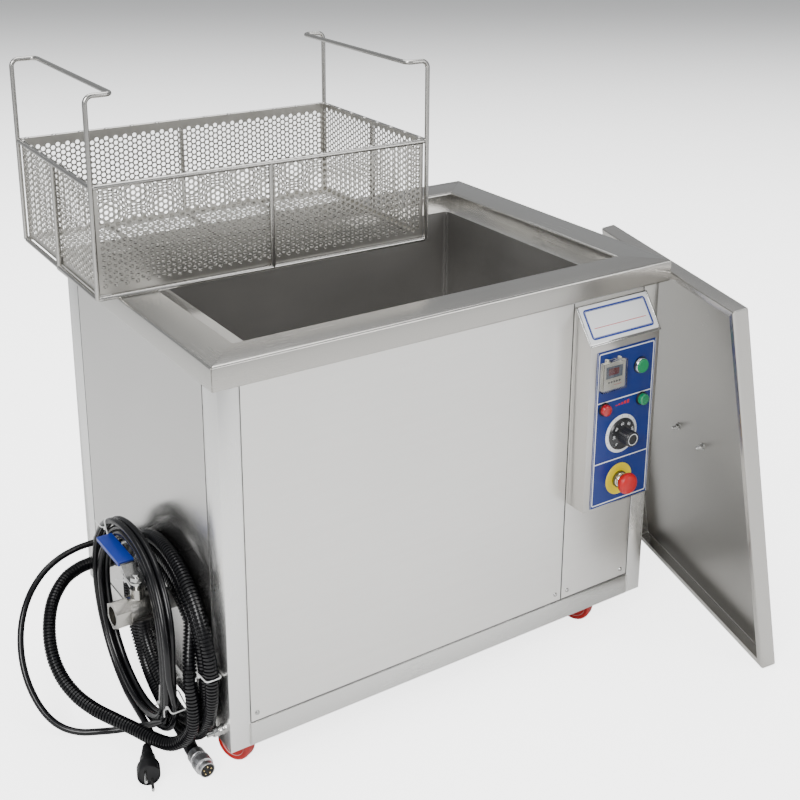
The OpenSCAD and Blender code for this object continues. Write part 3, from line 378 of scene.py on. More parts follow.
# Moulded plastic, rubber or paint with a fine skin and uneven gloss.
def moulded(name, tone, rough, scale=900, bump=0.15, coat=0.0, marks=0.12, fade=0.85, gloss=0.5):
    mat, tree, shader, coords = startMaterial(name)
    shader.inputs["Coat Weight"].default_value = coat
    shader.inputs["Coat Roughness"].default_value = skinned["coatRough"]
    shader.inputs["Specular IOR Level"].default_value = gloss
    skin = useGroup(tree, "pore", coords, Scale=scale)
    cloud = useGroup(tree, "cloud", coords, Scale=skinned["cloudSize"], Low=skinned["cloudLow"],
                     High=skinned["cloudHigh"])
    tree.links.new(mixColor(tree, cloud.outputs["Mask"], tone, [t * fade for t in tone]),
                   shader.inputs["Base Color"])
    tree.links.new(mathNode(tree, "ADD", mathNode(tree, "MULTIPLY", cloud.outputs["Mask"], marks), rough,
                            clamp=True),
                   shader.inputs["Roughness"])
    bumpOf(tree, shader, skin.outputs["Height"], bump, skinned["depth"])
    return mat


steel = {
    "front": metal("frontSteel", (0.90, 0.885, 0.86), 0.3, stretch=(1, 1, 14), scale=60, spread=0.1, bump=0.1,
                   dark=0.9),
    # The side panel's steel is a darker copy of the front steel: painted shade on the cabinet's side.
    "side": metal("sideSteelPaintedShade", (0.62, 0.61, 0.595), 0.2, stretch=(1, 1, 12), scale=60, spread=0.08, bump=0.08,
                  dark=0.94),
    "frame": metal("frameSteel", (0.95, 0.945, 0.93), 0.24, stretch=(14, 14, 1), scale=50, spread=0.1, bump=0.1,
                   dark=0.93),
    "rail": metal("railSteel", (0.75, 0.745, 0.73), 0.24, stretch=(1, 1, 16), scale=50, spread=0.1, bump=0.1,
                  dark=0.92),
    "rimLong": metal("rimSteelLong", (0.52, 0.505, 0.48), 0.22, stretch=(1, 26, 26), scale=40, spread=0.12,
                     bump=0.12, dark=0.9),
    "rimCross": metal("rimSteelCross", (0.55, 0.54, 0.515), 0.22, stretch=(26, 1, 26), scale=40, spread=0.12,
                      bump=0.12, dark=0.9),
    # The well's steel is much darker than the ledge steel: painted shade inside the recess.
    "tank": metal("tankSteelPaintedShade", (0.45, 0.44, 0.425), 0.46, stretch=(1, 1, 4), scale=90, spread=0.1, bump=0.1,
                  dark=0.9, marks=0.1),
    "ledge": metal("ledgeSteel", (0.82, 0.81, 0.79), 0.2, stretch=(2, 2, 1), scale=40, spread=0.16, bump=0.15,
                   dark=0.9),
    "rod": metal("rodSteel", (0.50, 0.49, 0.47), 0.22, scale=300, spread=0.14, bump=0.12, dark=0.85),
    "perforated": metal("perforatedSteel", (0.56, 0.545, 0.51), 0.3, scale=200, spread=0.16, bump=0.1,
                        dark=0.85),
    "zinc": metal("zincSteel", (0.50, 0.50, 0.49), 0.2, scale=500, spread=0.12, bump=0.08, dark=0.9),
    "nickel": metal("nickelBrass", (0.50, 0.485, 0.45), 0.2, scale=500, spread=0.12, bump=0.12, dark=0.8),
    "box": metal("boxSteel", (0.60, 0.585, 0.56), 0.28, stretch=(16, 16, 1), scale=50, spread=0.1, bump=0.1,
                 dark=0.93),
    "chromeSoft": metal("brightPlate", (0.58, 0.58, 0.57), 0.16, scale=300, spread=0.08, bump=0.06, dark=0.92),
    "lidEdge": metal("lidEdgeSteel", (0.56, 0.545, 0.52), 0.22, stretch=(1, 1, 10), scale=60, spread=0.1,
                     bump=0.1, dark=0.93),
    "chrome": metal("chromePlate", (0.86, 0.86, 0.86), 0.07, scale=300, spread=0.04, bump=0.03, dark=0.96,
                    marks=0.04),
    "weld": metal("weldBead", (0.66, 0.65, 0.63), 0.3, scale=900, spread=0.25, bump=0.5, dark=0.7),
    "aluminium": metal("turnedAluminium", (0.78, 0.78, 0.79), 0.3, stretch=(8, 8, 1), scale=300, spread=0.1,
                       bump=0.1),
    "brass": metal("brassContact", (0.80, 0.62, 0.30), 0.22, scale=500, spread=0.1, bump=0.08),
    "lidIn": metal("lidInsideSteel", (0.42, 0.41, 0.39), 0.28, stretch=(1, 1, 10), scale=50, spread=0.1,
                   bump=0.1, dark=0.93),
}
plastic = {
    "black": moulded("blackMoulding", (0.007, 0.007, 0.008), 0.34, bump=0.2, gloss=0.4),
    "knob": moulded("knobBlack", (0.016, 0.016, 0.018), 0.26, bump=0.12, coat=0.2),
    "olive": moulded("nutOlive", (0.10, 0.085, 0.01), 0.35, bump=0.15),
    "jacket": moulded("blackJacket", (0.004, 0.004, 0.005), 0.2, bump=0.06, coat=0.06, marks=0.08, gloss=0.35),
    "conduit": moulded("conduitBlack", (0.004, 0.004, 0.005), 0.24, bump=0.06, marks=0.08, gloss=0.4),
    "tyre": moulded("tyreRed", (0.56, 0.012, 0.008), 0.3, bump=0.2, fade=0.8, coat=0.2),
    "hub": moulded("hubGrey", (0.62, 0.62, 0.62), 0.45),
    "sleeve": moulded("sleeveBlue", (0.002, 0.028, 0.30), 0.3, scale=500, bump=0.35, coat=0.15),
    "film": moulded("filmBlue", (0.001, 0.020, 0.175), 0.3, bump=0.05, marks=0.04, fade=0.95),
    "plate": moulded("plateWhite", (0.80, 0.81, 0.82), 0.32, bump=0.05, marks=0.05, fade=0.96),
    "ink": moulded("inkWhite", (0.82, 0.83, 0.84), 0.4, bump=0.05, marks=0.04, fade=0.97),
    "inkBlue": moulded("inkBlue", (0.002, 0.03, 0.26), 0.38, bump=0.05, marks=0.04),
    "inkRed": moulded("inkRed", (0.62, 0.006, 0.006), 0.38, bump=0.05, marks=0.04),
    "cream": moulded("timerCream", (0.62, 0.59, 0.47), 0.4, bump=0.2),
    "window": moulded("timerWindow", (0.17, 0.02, 0.025), 0.12, bump=0.03, coat=0.5),
    "smoke": moulded("timerSmoke", (0.12, 0.14, 0.17), 0.18, bump=0.03),
    "green": moulded("capGreen", (0.0, 0.26, 0.085), 0.3, bump=0.08, coat=0.2),
    "greenLens": moulded("lensGreen", (0.0, 0.24, 0.09), 0.16, bump=0.05, coat=0.6),
    "redLens": moulded("lensRed", (0.42, 0.002, 0.006), 0.16, bump=0.05, coat=0.6),
    "stopRed": moulded("stopRed", (0.50, 0.001, 0.003), 0.36, bump=0.06, coat=0.06),
    "yellow": moulded("ringYellow", (0.86, 0.66, 0.0), 0.5, bump=0.05),
    "nylon": moulded("tieNylon", (0.80, 0.80, 0.79), 0.35, bump=0.08),
    "silicone": moulded("padSilicone", (0.55, 0.16, 0.04), 0.6, bump=0.4),
    "seam": moulded("seamShadow", (0.05, 0.05, 0.052), 0.6, bump=0.1),
}


def clearPlastic(name, tone, rough):
    mat, tree, shader, coords = startMaterial(name)
    shader.inputs["Transmission Weight"].default_value = 1
    shader.inputs["IOR"].default_value = 1.45
    cloud = useGroup(tree, "cloud", coords, Scale=60, Low=0.4, High=0.8)
    tree.links.new(mixColor(tree, cloud.outputs["Mask"], tone, [t * 0.95 for t in tone]),
                   shader.inputs["Base Color"])
    tree.links.new(mathNode(tree, "ADD", mathNode(tree, "MULTIPLY", cloud.outputs["Mask"], 0.08), rough),
                   shader.inputs["Roughness"])
    return mat


plastic["clear"] = clearPlastic("clearCover", (0.93, 0.94, 0.97), 0.02)
print("stage: materials ready")

stage = {
    "size": 60, "near": (0.95, 0.95, 0.94), "far": (0.74, 0.74, 0.735), "away": (0.54, 0.84),
    "from": 1.0, "to": 11.0, "glow": 3.0, "least": 0.14,
}
clearPick()
bpy.ops.mesh.primitive_plane_add(size=stage["size"])
floor = bpy.context.object
floor.name = "studioFloor"
mat, tree, shader, coords = startMaterial("paleFloor")
shader.inputs["Roughness"].default_value = 0.6
split = addNode(tree, "ShaderNodeSeparateXYZ")
tree.links.new(coords, split.inputs[0])
awayX = mathNode(tree, "MULTIPLY", split.outputs["X"], stage["away"][0])
awayY = mathNode(tree, "MULTIPLY", split.outputs["Y"], stage["away"][1])
away = mathNode(tree, "ADD", awayY, awayX)
ramp = addNode(tree, "ShaderNodeMapRange", interpolation_type="SMOOTHSTEP")
tree.links.new(away, ramp.inputs["Value"])
ramp.inputs["From Min"].default_value = stage["from"]
ramp.inputs["From Max"].default_value = stage["to"]
# The floor's colour is painted lighter near and greyer far along the view: a painted falloff of the light.
tree.links.new(mixColor(tree, ramp.outputs[0], stage["near"], stage["far"]), shader.inputs["Base Color"])
shader.inputs["Emission Color"].default_value = (1, 1, 1, 1)
# The glow whitens the floor only where it is looked at, so it lights nothing, and it fades into the distance.
seen = addNode(tree, "ShaderNodeLightPath").outputs["Is Camera Ray"]
near = mathNode(tree, "SUBTRACT", 1.0, ramp.outputs[0])
near = mathNode(tree, "MULTIPLY", mathNode(tree, "MULTIPLY", near, near), stage["glow"])
near = mathNode(tree, "ADD", near, stage["least"])
tree.links.new(mathNode(tree, "MULTIPLY", near, seen), shader.inputs["Emission Strength"])
floor.data.materials.append(mat)

sky = {"tone": (0.86, 0.88, 0.9, 1), "strength": 0.5, "paler": 0.18}
world = bpy.data.worlds.new("studioWorld")
bpy.context.scene.world = world
world.use_nodes = True
skyTree = world.node_tree
background = skyTree.nodes["Background"]
background.inputs["Color"].default_value = sky["tone"]
skySeen = addNode(skyTree, "ShaderNodeLightPath").outputs["Is Camera Ray"]
skyStrength = mathNode(skyTree, "ADD", mathNode(skyTree, "MULTIPLY", skySeen, sky["paler"]), sky["strength"])
skyTree.links.new(skyStrength, background.inputs["Strength"])

lights = {
    "keyLeft": {"at": (-3.2, -2.2, 3.0), "to": (0, 0, 0.5), "size": (1.6, 2.4), "power": 190},
    "fillFront": {"at": (2.4, -4.0, 2.2), "to": (0, 0, 0.4), "size": (2.5, 2.5), "power": 70},
    "topSoft": {"at": (0.2, 0.6, 3.6), "to": (0, 0.2, 0.5), "size": (3.0, 3.0), "power": 110},
}
for name, spec in lights.items():
    bpy.ops.object.light_add(type="AREA", location=spec["at"])
    light = bpy.context.object
    light.name = name
    light.data.shape = "RECTANGLE"
    light.data.size, light.data.size_y = spec["size"]
    light.data.energy = spec["power"]
    light.rotation_euler = (Vector(spec["to"]) - Vector(spec["at"])).to_track_quat("-Z", "Y").to_euler()
print("stage: floor and lights")

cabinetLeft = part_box("left_panel")[0].x
# Points are (out from the cabinet's side, along it, up) in millimetres; angles run down from the coil's rear.
powerCord = {
    "diameter": 0.011, "radius": 0.157, "out": 0.0475, "middle": (0.015, 0.174), "step": 0.011,
    "cells": [(0.5, 0), (0.5, -1), (-0.5, -1), (-0.5, 0), (-0.5, 1), (0.5, 1)],
    "from": -140, "to": -90 - 360 * 5 + 14, "moveFrom": 15, "moveWide": 30, "cut": 0.006,
    "droop": 0.22, "wobble": 0.0012, "lean": 0.014, "clear": 0.0003,
    "way": [(38, 224, 216), (50, 224, 216), (74, 222, 215), (106, 214, 211), (139, 201, 200),
            (170, 182, 178), (192, 160, 148), (204, 136, 114), (207, 110, 80), (202, 84, 50), (191, 60, 27),
            (174, 40, 12), (152, 22, 6), (128, 8, 6), (105, -3, 6), (86, -14, 9), (71, -30, 17),
            (61, -50, 29), (55, -71, 44), (53, -92, 60)],
    "tail": [(57.5, -35, 6), (68, -58, 8), (78, -76, 13)],
    "plug": (88, -98, 18.2), "plugTurn": 20,
}
conduit = {
    "diameter": 0.022, "radius": 0.13705, "out": 0.0145, "middle": (-0.031, 0.17105), "step": 0.022,
    "cells": [(0, -1), (0, 0), (0, 1)], "from": -218, "to": -90 - 360 * 3, "moveFrom": 150, "moveWide": 50,
    "cut": 0.0009, "rib": 0.0024, "wobble": 0.0008,
    "way": [(38, 218, 182), (52, 218, 182), (74, 214, 181), (103, 202, 175), (132, 178, 158),
            (151, 148, 132), (160, 114, 103), (158, 80, 78), (147, 46, 59), (130, 13, 47), (110, -21, 41),
            (90, -54, 36), (74, -90, 35), (58, -122, 39), (44, -145, 57), (38, -161, 82), (37, -168, 108),
            (37, -168, 138), (36.5, -161, 168), (31, -149, 198)],
    "tail": [(15.5, -64, 12), (20, -97, 14), (25, -126, 17)],
    "end": (25, -140, 17),
}


def fromSide(p):
    return Vector((cabinetLeft - p[0] * 0.001, p[1] * 0.001, p[2] * 0.001))


# A smooth line through points, cut into even steps.
def evenLine(points, step):
    pts = [points[0]] + list(points) + [points[-1]]
    fine = []
    for i in range(1, len(pts) - 2):
        a, b, c, d = pts[i - 1:i + 3]
        n = max(2, int((c - b).length / 0.0015))
        for k in range(n):
            t = k / n
            fine.append(0.5 * (2 * b + (c - a) * t + (2 * a - 5 * b + 4 * c - d) * t * t
                               + (3 * b - a - 3 * c + d) * t ** 3))
    fine.append(pts[-1])
    total = sum((q - p).length for p, q in zip(fine, fine[1:]))
    count = max(2, round(total / step))
    want, out, gone, i = total / count, [fine[0]], 0.0, 0
    for k in range(1, count):
        target = k * want
        while gone + (fine[i + 1] - fine[i]).length < target:
            gone += (fine[i + 1] - fine[i]).length
            i += 1
        f = (target - gone) / (fine[i + 1] - fine[i]).length
        out.append(fine[i].lerp(fine[i + 1], f))
    out.append(fine[-1])
    return out, total


# Turns that lie in a few cells of the bundle: each (out, radial) cell in step widths. Every strand moves to
# its next cell in its own part of the turn, so no two strands pass through each other.
def coilPoints(spec, loosen):
    cells, moveWide = spec["cells"], spec["moveWide"]
    points, angle = [], spec["from"]
    turn = 360.0
    while angle > spec["to"] - 0.01:
        gone = spec["from"] - angle
        lap = int(gone // turn)
        inLap = gone - lap * turn
        last = len(cells) - 1
        i = min(lap, last)
        j = min(lap + 1, last)
        begin = spec["moveFrom"] + (last - 1 - lap) * moveWide if lap < last else 1e9
        t = min(1, max(0, (inLap - begin) / moveWide))
        t = t * t * (3 - 2 * t)
        o = cells[i][0] + (cells[j][0] - cells[i][0]) * t
        r = cells[i][1] + (cells[j][1] - cells[i][1]) * t
        points.append(loosen(spec, math.radians(angle), o * spec["step"], r * spec["step"]))
        angle -= 6
    return points


def powerShape(spec, a, o, r):
    out = spec["out"] + o
    front = max(0.0, -math.cos(a))
    spread = 1 + spec["droop"] * max(0.0, math.sin(a + 0.6)) ** 2
    radius = spec["radius"] + r * spread + spec["wobble"] * math.sin(3 * a)
    lowest = spec["diameter"] / 2 + spec["clear"]
    return Vector((cabinetLeft - out - spec["lean"] * front ** 3, spec["middle"][0] + radius * math.cos(a),
                   max(lowest, spec["middle"][1] + radius * math.sin(a))))


def conduitShape(spec, a, o, r):
    radius = spec["radius"] + r + spec["wobble"] * math.sin(2 * a + 1)
    return Vector((cabinetLeft - spec["out"] - o, spec["middle"][0] + radius * math.cos(a),
                   spec["middle"][1] + radius * math.sin(a)))


plugTurn = math.radians(powerCord["plugTurn"])
plugWay = Vector((math.sin(-plugTurn), -math.cos(plugTurn), 0))
plugAt = fromSide(powerCord["plug"])
powerLine = [fromSide(p) for p in powerCord["way"]]
powerLine += coilPoints(powerCord, powerShape)
powerLine += [fromSide(p) for p in powerCord["tail"]] + [plugAt - plugWay * 0.010, plugAt]
powerPath, powerLength = evenLine(powerLine, powerCord["cut"])

conduitEnd = fromSide(conduit["end"])
conduitLine = [fromSide(p) for p in conduit["way"]]
conduitLine += coilPoints(conduit, conduitShape)
conduitLine += [fromSide(p) for p in conduit["tail"]] + [conduitEnd]
conduitPath, conduitLength = evenLine(conduitLine, conduit["cut"])


# A round tube along points whose radius repeats a short list of sizes.
def tubeMesh(name, path, radii, sides):
    verts, faces = [], []
    heading = (path[1] - path[0]).normalized()
    side = heading.orthogonal().normalized()
    for i, p in enumerate(path):
        heading = (path[min(i + 1, len(path) - 1)] - path[max(i - 1, 0)]).normalized()
        side = (side - heading * side.dot(heading)).normalized()
        up = heading.cross(side)
        r = radii[i % len(radii)]
        for k in range(sides):
            a = 2 * math.pi * k / sides
            verts.append(p + side * (r * math.cos(a)) + up * (r * math.sin(a)))
    for i in range(len(path) - 1):
        for k in range(sides):
            n = (k + 1) % sides
            faces.append((i * sides + k, i * sides + n, (i + 1) * sides + n, (i + 1) * sides + k))
    faces.append(tuple(reversed(range(sides))))
    faces.append(tuple((len(path) - 1) * sides + k for k in range(sides)))
    mesh = bpy.data.meshes.new(name)
    mesh.from_pydata([tuple(v) for v in verts], [], faces)
    obj = bpy.data.objects.new(name, mesh)
    bpy.context.scene.collection.objects.link(obj)
    return outwards(obj)


powerPiece = tubeMesh("powerCord", powerPath, [powerCord["diameter"] / 2], 12)
dress(powerPiece, plastic["jacket"], "cabinet", 80, stands=("power_cable", "power_cable_coil"))
crest = conduit["diameter"] / 2
groove = crest - conduit["rib"]
conduitPiece = tubeMesh("conduitHose", conduitPath, [crest] * 4 + [groove] * 2, 14)
dress(conduitPiece, plastic["conduit"], "cabinet", 50, stands=("conduit", "conduit_coil"))
print("stage: cords", round(powerLength, 3), round(conduitLength, 3), len(powerPath), len(conduitPath))


# A sheet folded along parallel lines: along is its length, legs the steps across the folds.
def foldedStrip(name, start, along, legs, outside, thick, fold, cuts=()):
    clearPick()
    bpy.ops.mesh.primitive_plane_add(size=1)
    obj = bpy.context.object
    obj.name = name
    start, along, legs = Vector(start), Vector(along), [Vector(v) for v in legs]
    for v, c in zip(obj.data.vertices, (start, start + along, start + legs[0], start + along + legs[0])):
        v.co = c
    bpy.ops.object.mode_set(mode="EDIT")
    bpy.ops.mesh.select_mode(type="EDGE")
    bpy.ops.mesh.select_all(action="DESELECT")
    bpy.ops.object.mode_set(mode="OBJECT")
    for e in obj.data.edges:
        e.select = set(e.vertices) == {2, 3}
    bpy.ops.object.mode_set(mode="EDIT")
    for leg in legs[1:]:
        bpy.ops.mesh.extrude_edges_move(TRANSFORM_OT_translate={"value": leg})
    if len(legs) > 1:
        bpy.ops.mesh.select_mode(type="FACE")
        bpy.ops.mesh.select_all(action="SELECT")
        bpy.ops.mesh.region_to_loop()
        bpy.ops.mesh.select_all(action="INVERT")
        bpy.ops.mesh.bevel(offset=fold, segments=4, affect="EDGES")
    for place, away in cuts:
        bpy.ops.mesh.select_mode(type="FACE")
        bpy.ops.mesh.select_all(action="SELECT")
        bpy.ops.mesh.bisect(plane_co=place, plane_no=away, clear_outer=True)
    bpy.ops.object.mode_set(mode="OBJECT")
    if obj.data.polygons[0].normal.dot(Vector(outside)) < 0:
        bpy.ops.object.mode_set(mode="EDIT")
        bpy.ops.mesh.select_all(action="SELECT")
        bpy.ops.mesh.flip_normals()
        bpy.ops.object.mode_set(mode="OBJECT")
    m = obj.modifiers.new("thick", "SOLIDIFY")
    m.thickness, m.offset, m.use_even_offset = thick, -1, True
    return applyAll(obj)


# Four folded strips round a rectangle, mitred where they meet. Legs are (inward, up) steps.
def foldedRing(name, corners, up, first, legs, outside, thick, fold, gap):
    up = Vector(up)
    strips = []
    for i in range(4):
        a, b = Vector(corners[i]), Vector(corners[(i + 1) % 4])
        t = (b - a).normalized()
        n = up.cross(t)
        steps = [n * u + up * v for u, v in legs]
        cuts = [(a + t * gap, n - t), (b - t * gap, n + t)]
        strips.append(foldedStrip(name + str(i), a + n * first[0] + up * first[1], b - a, steps,
                                  n * outside[0] + up * outside[1], thick, fold, cuts))
    return strips


# A rod bent along points, each corner rounded to a radius.
def bentRod(name, points, radius, bend=0.0, closed=False, sides=4):
    pts = [Vector(p) for p in points]
    count = len(pts)
    path = []
    for i, p in enumerate(pts):
        inside = closed or 0 < i < count - 1
        if not inside or bend <= 0:
            path.append(p)
            continue
        u = (pts[i - 1] - p).normalized()
        v = (pts[(i + 1) % count] - p).normalized()
        half = u.angle(v) / 2
        back = bend / math.tan(half)
        middle = p + (u + v).normalized() * (bend / math.sin(half))
        a, b = p + u * back - middle, p + v * back - middle
        for k in range(9):
            path.append(middle + a.normalized().slerp(b.normalized(), k / 8) * a.length)
    data = bpy.data.curves.new(name, "CURVE")
    data.dimensions = "3D"
    data.bevel_depth = radius
    data.bevel_resolution = sides
    data.use_fill_caps = True
    spline = data.splines.new("POLY")
    spline.points.add(len(path) - 1)
    for q, p in zip(spline.points, path):
        q.co = (*p, 1)
    spline.use_cyclic_u = closed
    obj = bpy.data.objects.new(name, data)
    bpy.context.scene.collection.objects.link(obj)
    pick(obj)
    bpy.ops.object.convert(target="MESH")
    return outwards(bpy.context.object)


# A weld laid in overlapping ripples along a line.
def weldBead(name, a, b, radius, pitch=0.0026):
    a, b = Vector(a), Vector(b)
    n = max(3, int((b - a).length / pitch))
    step = (b - a).length / n
    rings = [(radius * 0.4, 0)]
    for i in range(n):
        swell = 1 + 0.12 * math.sin(i * 1.7) + 0.08 * math.sin(i * 0.6 + 1)
        rings += [(radius * 0.86, step * (i + 0.12)), (radius * swell, step * (i + 0.6))]
    rings.append((radius * 0.4, step * n))
    return turned(name, rings, a, b - a, 8)


# Flat printed shape with rounded corners, a thin layer standing on a face; line gives an open frame.
def printed(name, width, height, corner, place, line=None, thick=0.00012):
    clearPick()
    bpy.ops.mesh.primitive_plane_add(size=1)
    obj = bpy.context.object
    obj.name = name
    obj.scale = (width, height, 1)
    settle(obj)
    bpy.ops.object.mode_set(mode="EDIT")
    bpy.ops.mesh.select_all(action="SELECT")
    if corner:
        bpy.ops.mesh.bevel(offset=corner, segments=6, affect="VERTICES")
    if line:
        bpy.ops.mesh.select_mode(type="FACE")
        bpy.ops.mesh.select_all(action="SELECT")
        bpy.ops.mesh.inset(thickness=line)
        bpy.ops.mesh.delete(type="FACE")
    bpy.ops.object.mode_set(mode="OBJECT")
    m = obj.modifiers.new("thick", "SOLIDIFY")
    m.thickness, m.offset = thick, 1
    applyAll(obj)
    obj.matrix_world = place
    return settle(obj)


# A place on a face: where, which way is across, and which way is out.
def onFace(where, across, out):
    x, z = Vector(across).normalized(), Vector(out).normalized()
    y = z.cross(x)
    m = Matrix((x, y, z)).transposed().to_4x4()
    m.translation = Vector(where)
    return m


rimLo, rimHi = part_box("rim")
tankLo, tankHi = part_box("tank")
rim = {"band": 0.064, "sheet": 0.0015, "fold": 0.003, "hem": 0.005, "gap": 0.00012}
corners = [(rimLo.x, rimLo.y, rimLo.z), (rimHi.x, rimLo.y, rimLo.z), (rimHi.x, rimHi.y, rimLo.z),
           (rimLo.x, rimHi.y, rimLo.z)]
skirt = rimHi.z - rimLo.z
strips = foldedRing("rimSide", corners, (0, 0, 1), (rim["hem"], 0),
                    [(-rim["hem"], 0), (0, skirt), (rim["band"], 0), (0, tankHi.z - rimHi.z)], (0, -1),
                    rim["sheet"], rim["fold"], rim["gap"])
for i, s in enumerate(strips):
    s.data.materials.append(steel["rimLong"] if i % 2 == 0 else steel["rimCross"])
dress(joinAs("rimFolded", strips), None, "cabinet", 40, stands=("rim",))

tankWell = softened("tank", "tankWell", 0)
tankWell.data.materials.clear()
tankWell.data.materials.append(steel["tank"])
tankWell.data.materials.append(steel["ledge"])
# Up-facing faces at the top take the light ledge steel; the rest of the well takes the darker steel, painted
# shade of the recess.
for f in tankWell.data.polygons:
    f.material_index = 1 if f.center.z > tankHi.z - 0.0005 and f.normal.z > 0.5 else 0
dress(tankWell, None, "cabinet", 30, stands=("tank",))
mouth = {"inset": 0.048, "round": 0.010, "bead": 0.0018}
mouthX = (tankLo.x + mouth["inset"], tankHi.x - mouth["inset"])
mouthY = (tankLo.y + mouth["inset"], tankHi.y - mouth["inset"])
beads = []
back = mouth["round"] * 0.293     # how far a rounded corner stands in from the square one
for x, sx in zip(mouthX, (1, -1)):
    for y, sy in zip(mouthY, (1, -1)):
        beads.append(weldBead("wellBead", (x + sx * back, y + sy * back, tankLo.z + 0.004),
                              (x + sx * back, y + sy * back, tankHi.z - 0.002), mouth["bead"]))
dress(joinAs("wellWelds", beads), steel["weld"], "cabinet", 60)
print("stage: rim and tank")

body = {"post": 0.034, "rail": 0.038, "brace": 0.049, "edge": 0.0016, "seam": 0.0012, "bead": 0.0016,
        "proud": 0.00015}
dress(softened("corner_posts", "cornerPosts", body["edge"]), steel["frame"], "cabinet", 40,
      stands=("corner_posts",))
dress(softened("bottom_rails", "bottomRails", 0.001), steel["rail"], "cabinet", 40,
      stands=("bottom_rails",))
for node in ("front_panel", "access_panel", "rear_panel", "right_panel"):
    dress(softened(node, node.replace("_p", "P"), 0.0004), steel["front"], "cabinet", 20,
          stands=(node,))
# The left panel takes the darker copy of the panel steel, painted shade on its side.
dress(softened("left_panel", "leftPanel", 0.0004), steel["side"], "cabinet", 20,
      stands=("left_panel",))
postLo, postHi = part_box("corner_posts")
beads = []
beadLow, beadHigh = postLo.z + 0.0015, postLo.z + body["rail"] - 0.001
for x in (postLo.x + body["post"], postHi.x - body["post"]):
    for y, face in ((postLo.y, -1), (postHi.y, 1)):
        beads.append(weldBead("railBead", (x, y - face * 0.0002, beadLow), (x, y - face * 0.0002, beadHigh),
                              body["bead"]))
for x in (postLo.x, postHi.x):
    for y in (postLo.y + body["brace"], postHi.y - body["brace"]):
        beads.append(weldBead("railBead", (x, y, beadLow), (x, y, beadHigh), body["bead"]))
dress(joinAs("railWelds", beads), steel["weld"], "cabinet", 60)
seams = []
for node in ("front_panel", "access_panel", "rear_panel", "right_panel", "left_panel"):
    lo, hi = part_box(node)
    size, centre = hi - lo, (lo + hi) / 2
    if size.y < size.x:
        out = Vector((0, math.copysign(1, centre.y - (postLo.y + postHi.y) / 2), 0))
        across, wide, deep = Vector((-out.y, 0, 0)), size.x, size.y
    else:
        out = Vector((math.copysign(1, centre.x - (postLo.x + postHi.x) / 2), 0, 0))
        across, wide, deep = Vector((0, out.x, 0)), size.y, size.x
    at = centre + out * (deep / 2 + body["proud"])
    seams.append(printed("panelSeam", wide + body["seam"], size.z + body["seam"], 0, onFace(at, across, out),
                         body["seam"]))
dress(joinAs("panelSeams", seams), plastic["seam"], "cabinet", 30)
paint(["top_rails", "panel_mullion"], steel["frame"])
paint(["panel_screws"], steel["zinc"])
print("stage: cabinet sheets")

basket = {
    "centre": (-0.213, 0.276), "turn": -1.3, "length": 0.612, "width": 0.376, "height": 0.186, "rod": 0.008,
    "grip": 0.326, "gripIn": 0.042, "sheet": 0.001, "hole": 0.0079, "pitch": 0.0102, "clear": 0.0003,
    "margin": 0.005, "marginBack": 0.012,
}
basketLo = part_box("basket_frame")[0]
basketPlace = (Matrix.Translation((*basket["centre"], basketLo.z))
               @ Matrix.Rotation(math.radians(basket["turn"]), 4, "Z"))
halfL = basket["length"] / 2 - basket["rod"] / 2
halfW = basket["width"] / 2 - basket["rod"] / 2
low, high = basket["rod"] / 2, basket["height"] - basket["rod"] / 2


def inBasket(x, y, z):
    return basketPlace @ Vector((x, y, z))


def pickEdges(obj, test):
    bpy.ops.object.mode_set(mode="EDIT")
    bpy.ops.mesh.select_mode(type="EDGE")
    bpy.ops.mesh.select_all(action="DESELECT")
    bpy.ops.object.mode_set(mode="OBJECT")
    for e in obj.data.edges:
        a, b = (obj.data.vertices[i].co for i in e.vertices)
        e.select = bool(test(a, b))
    bpy.ops.object.mode_set(mode="EDIT")


def repeat(obj, count, step):
    m = obj.modifiers.new("repeat", "ARRAY")
    m.count, m.use_relative_offset, m.use_constant_offset = count, False, True
    m.constant_offset_displace = step
    m.use_merge_vertices, m.merge_threshold = True, 0.00002
    return applyAll(obj)


# One hole with the metal round it, as wide as the column step and as high as the pitch.
def holeTile(name, hole, wide, tall, lift):
    parts = []
    for count, radius in ((12, hole / 2), (8, 1.0)):
        clearPick()
        bpy.ops.mesh.primitive_circle_add(vertices=count, radius=radius)
        parts.append(bpy.context.object)
    for v in parts[1].data.vertices:
        v.co = (round(v.co.x * 0.8) * wide / 2, round(v.co.y * 0.8) * tall / 2, 0)
    obj = joinAs(name, parts)
    bpy.ops.object.mode_set(mode="EDIT")
    bpy.ops.mesh.select_all(action="SELECT")
    bpy.ops.mesh.bridge_edge_loops()
    bpy.ops.object.mode_set(mode="OBJECT")
    obj.location = (wide / 2, tall / 2 + lift, 0)
    return settle(obj)


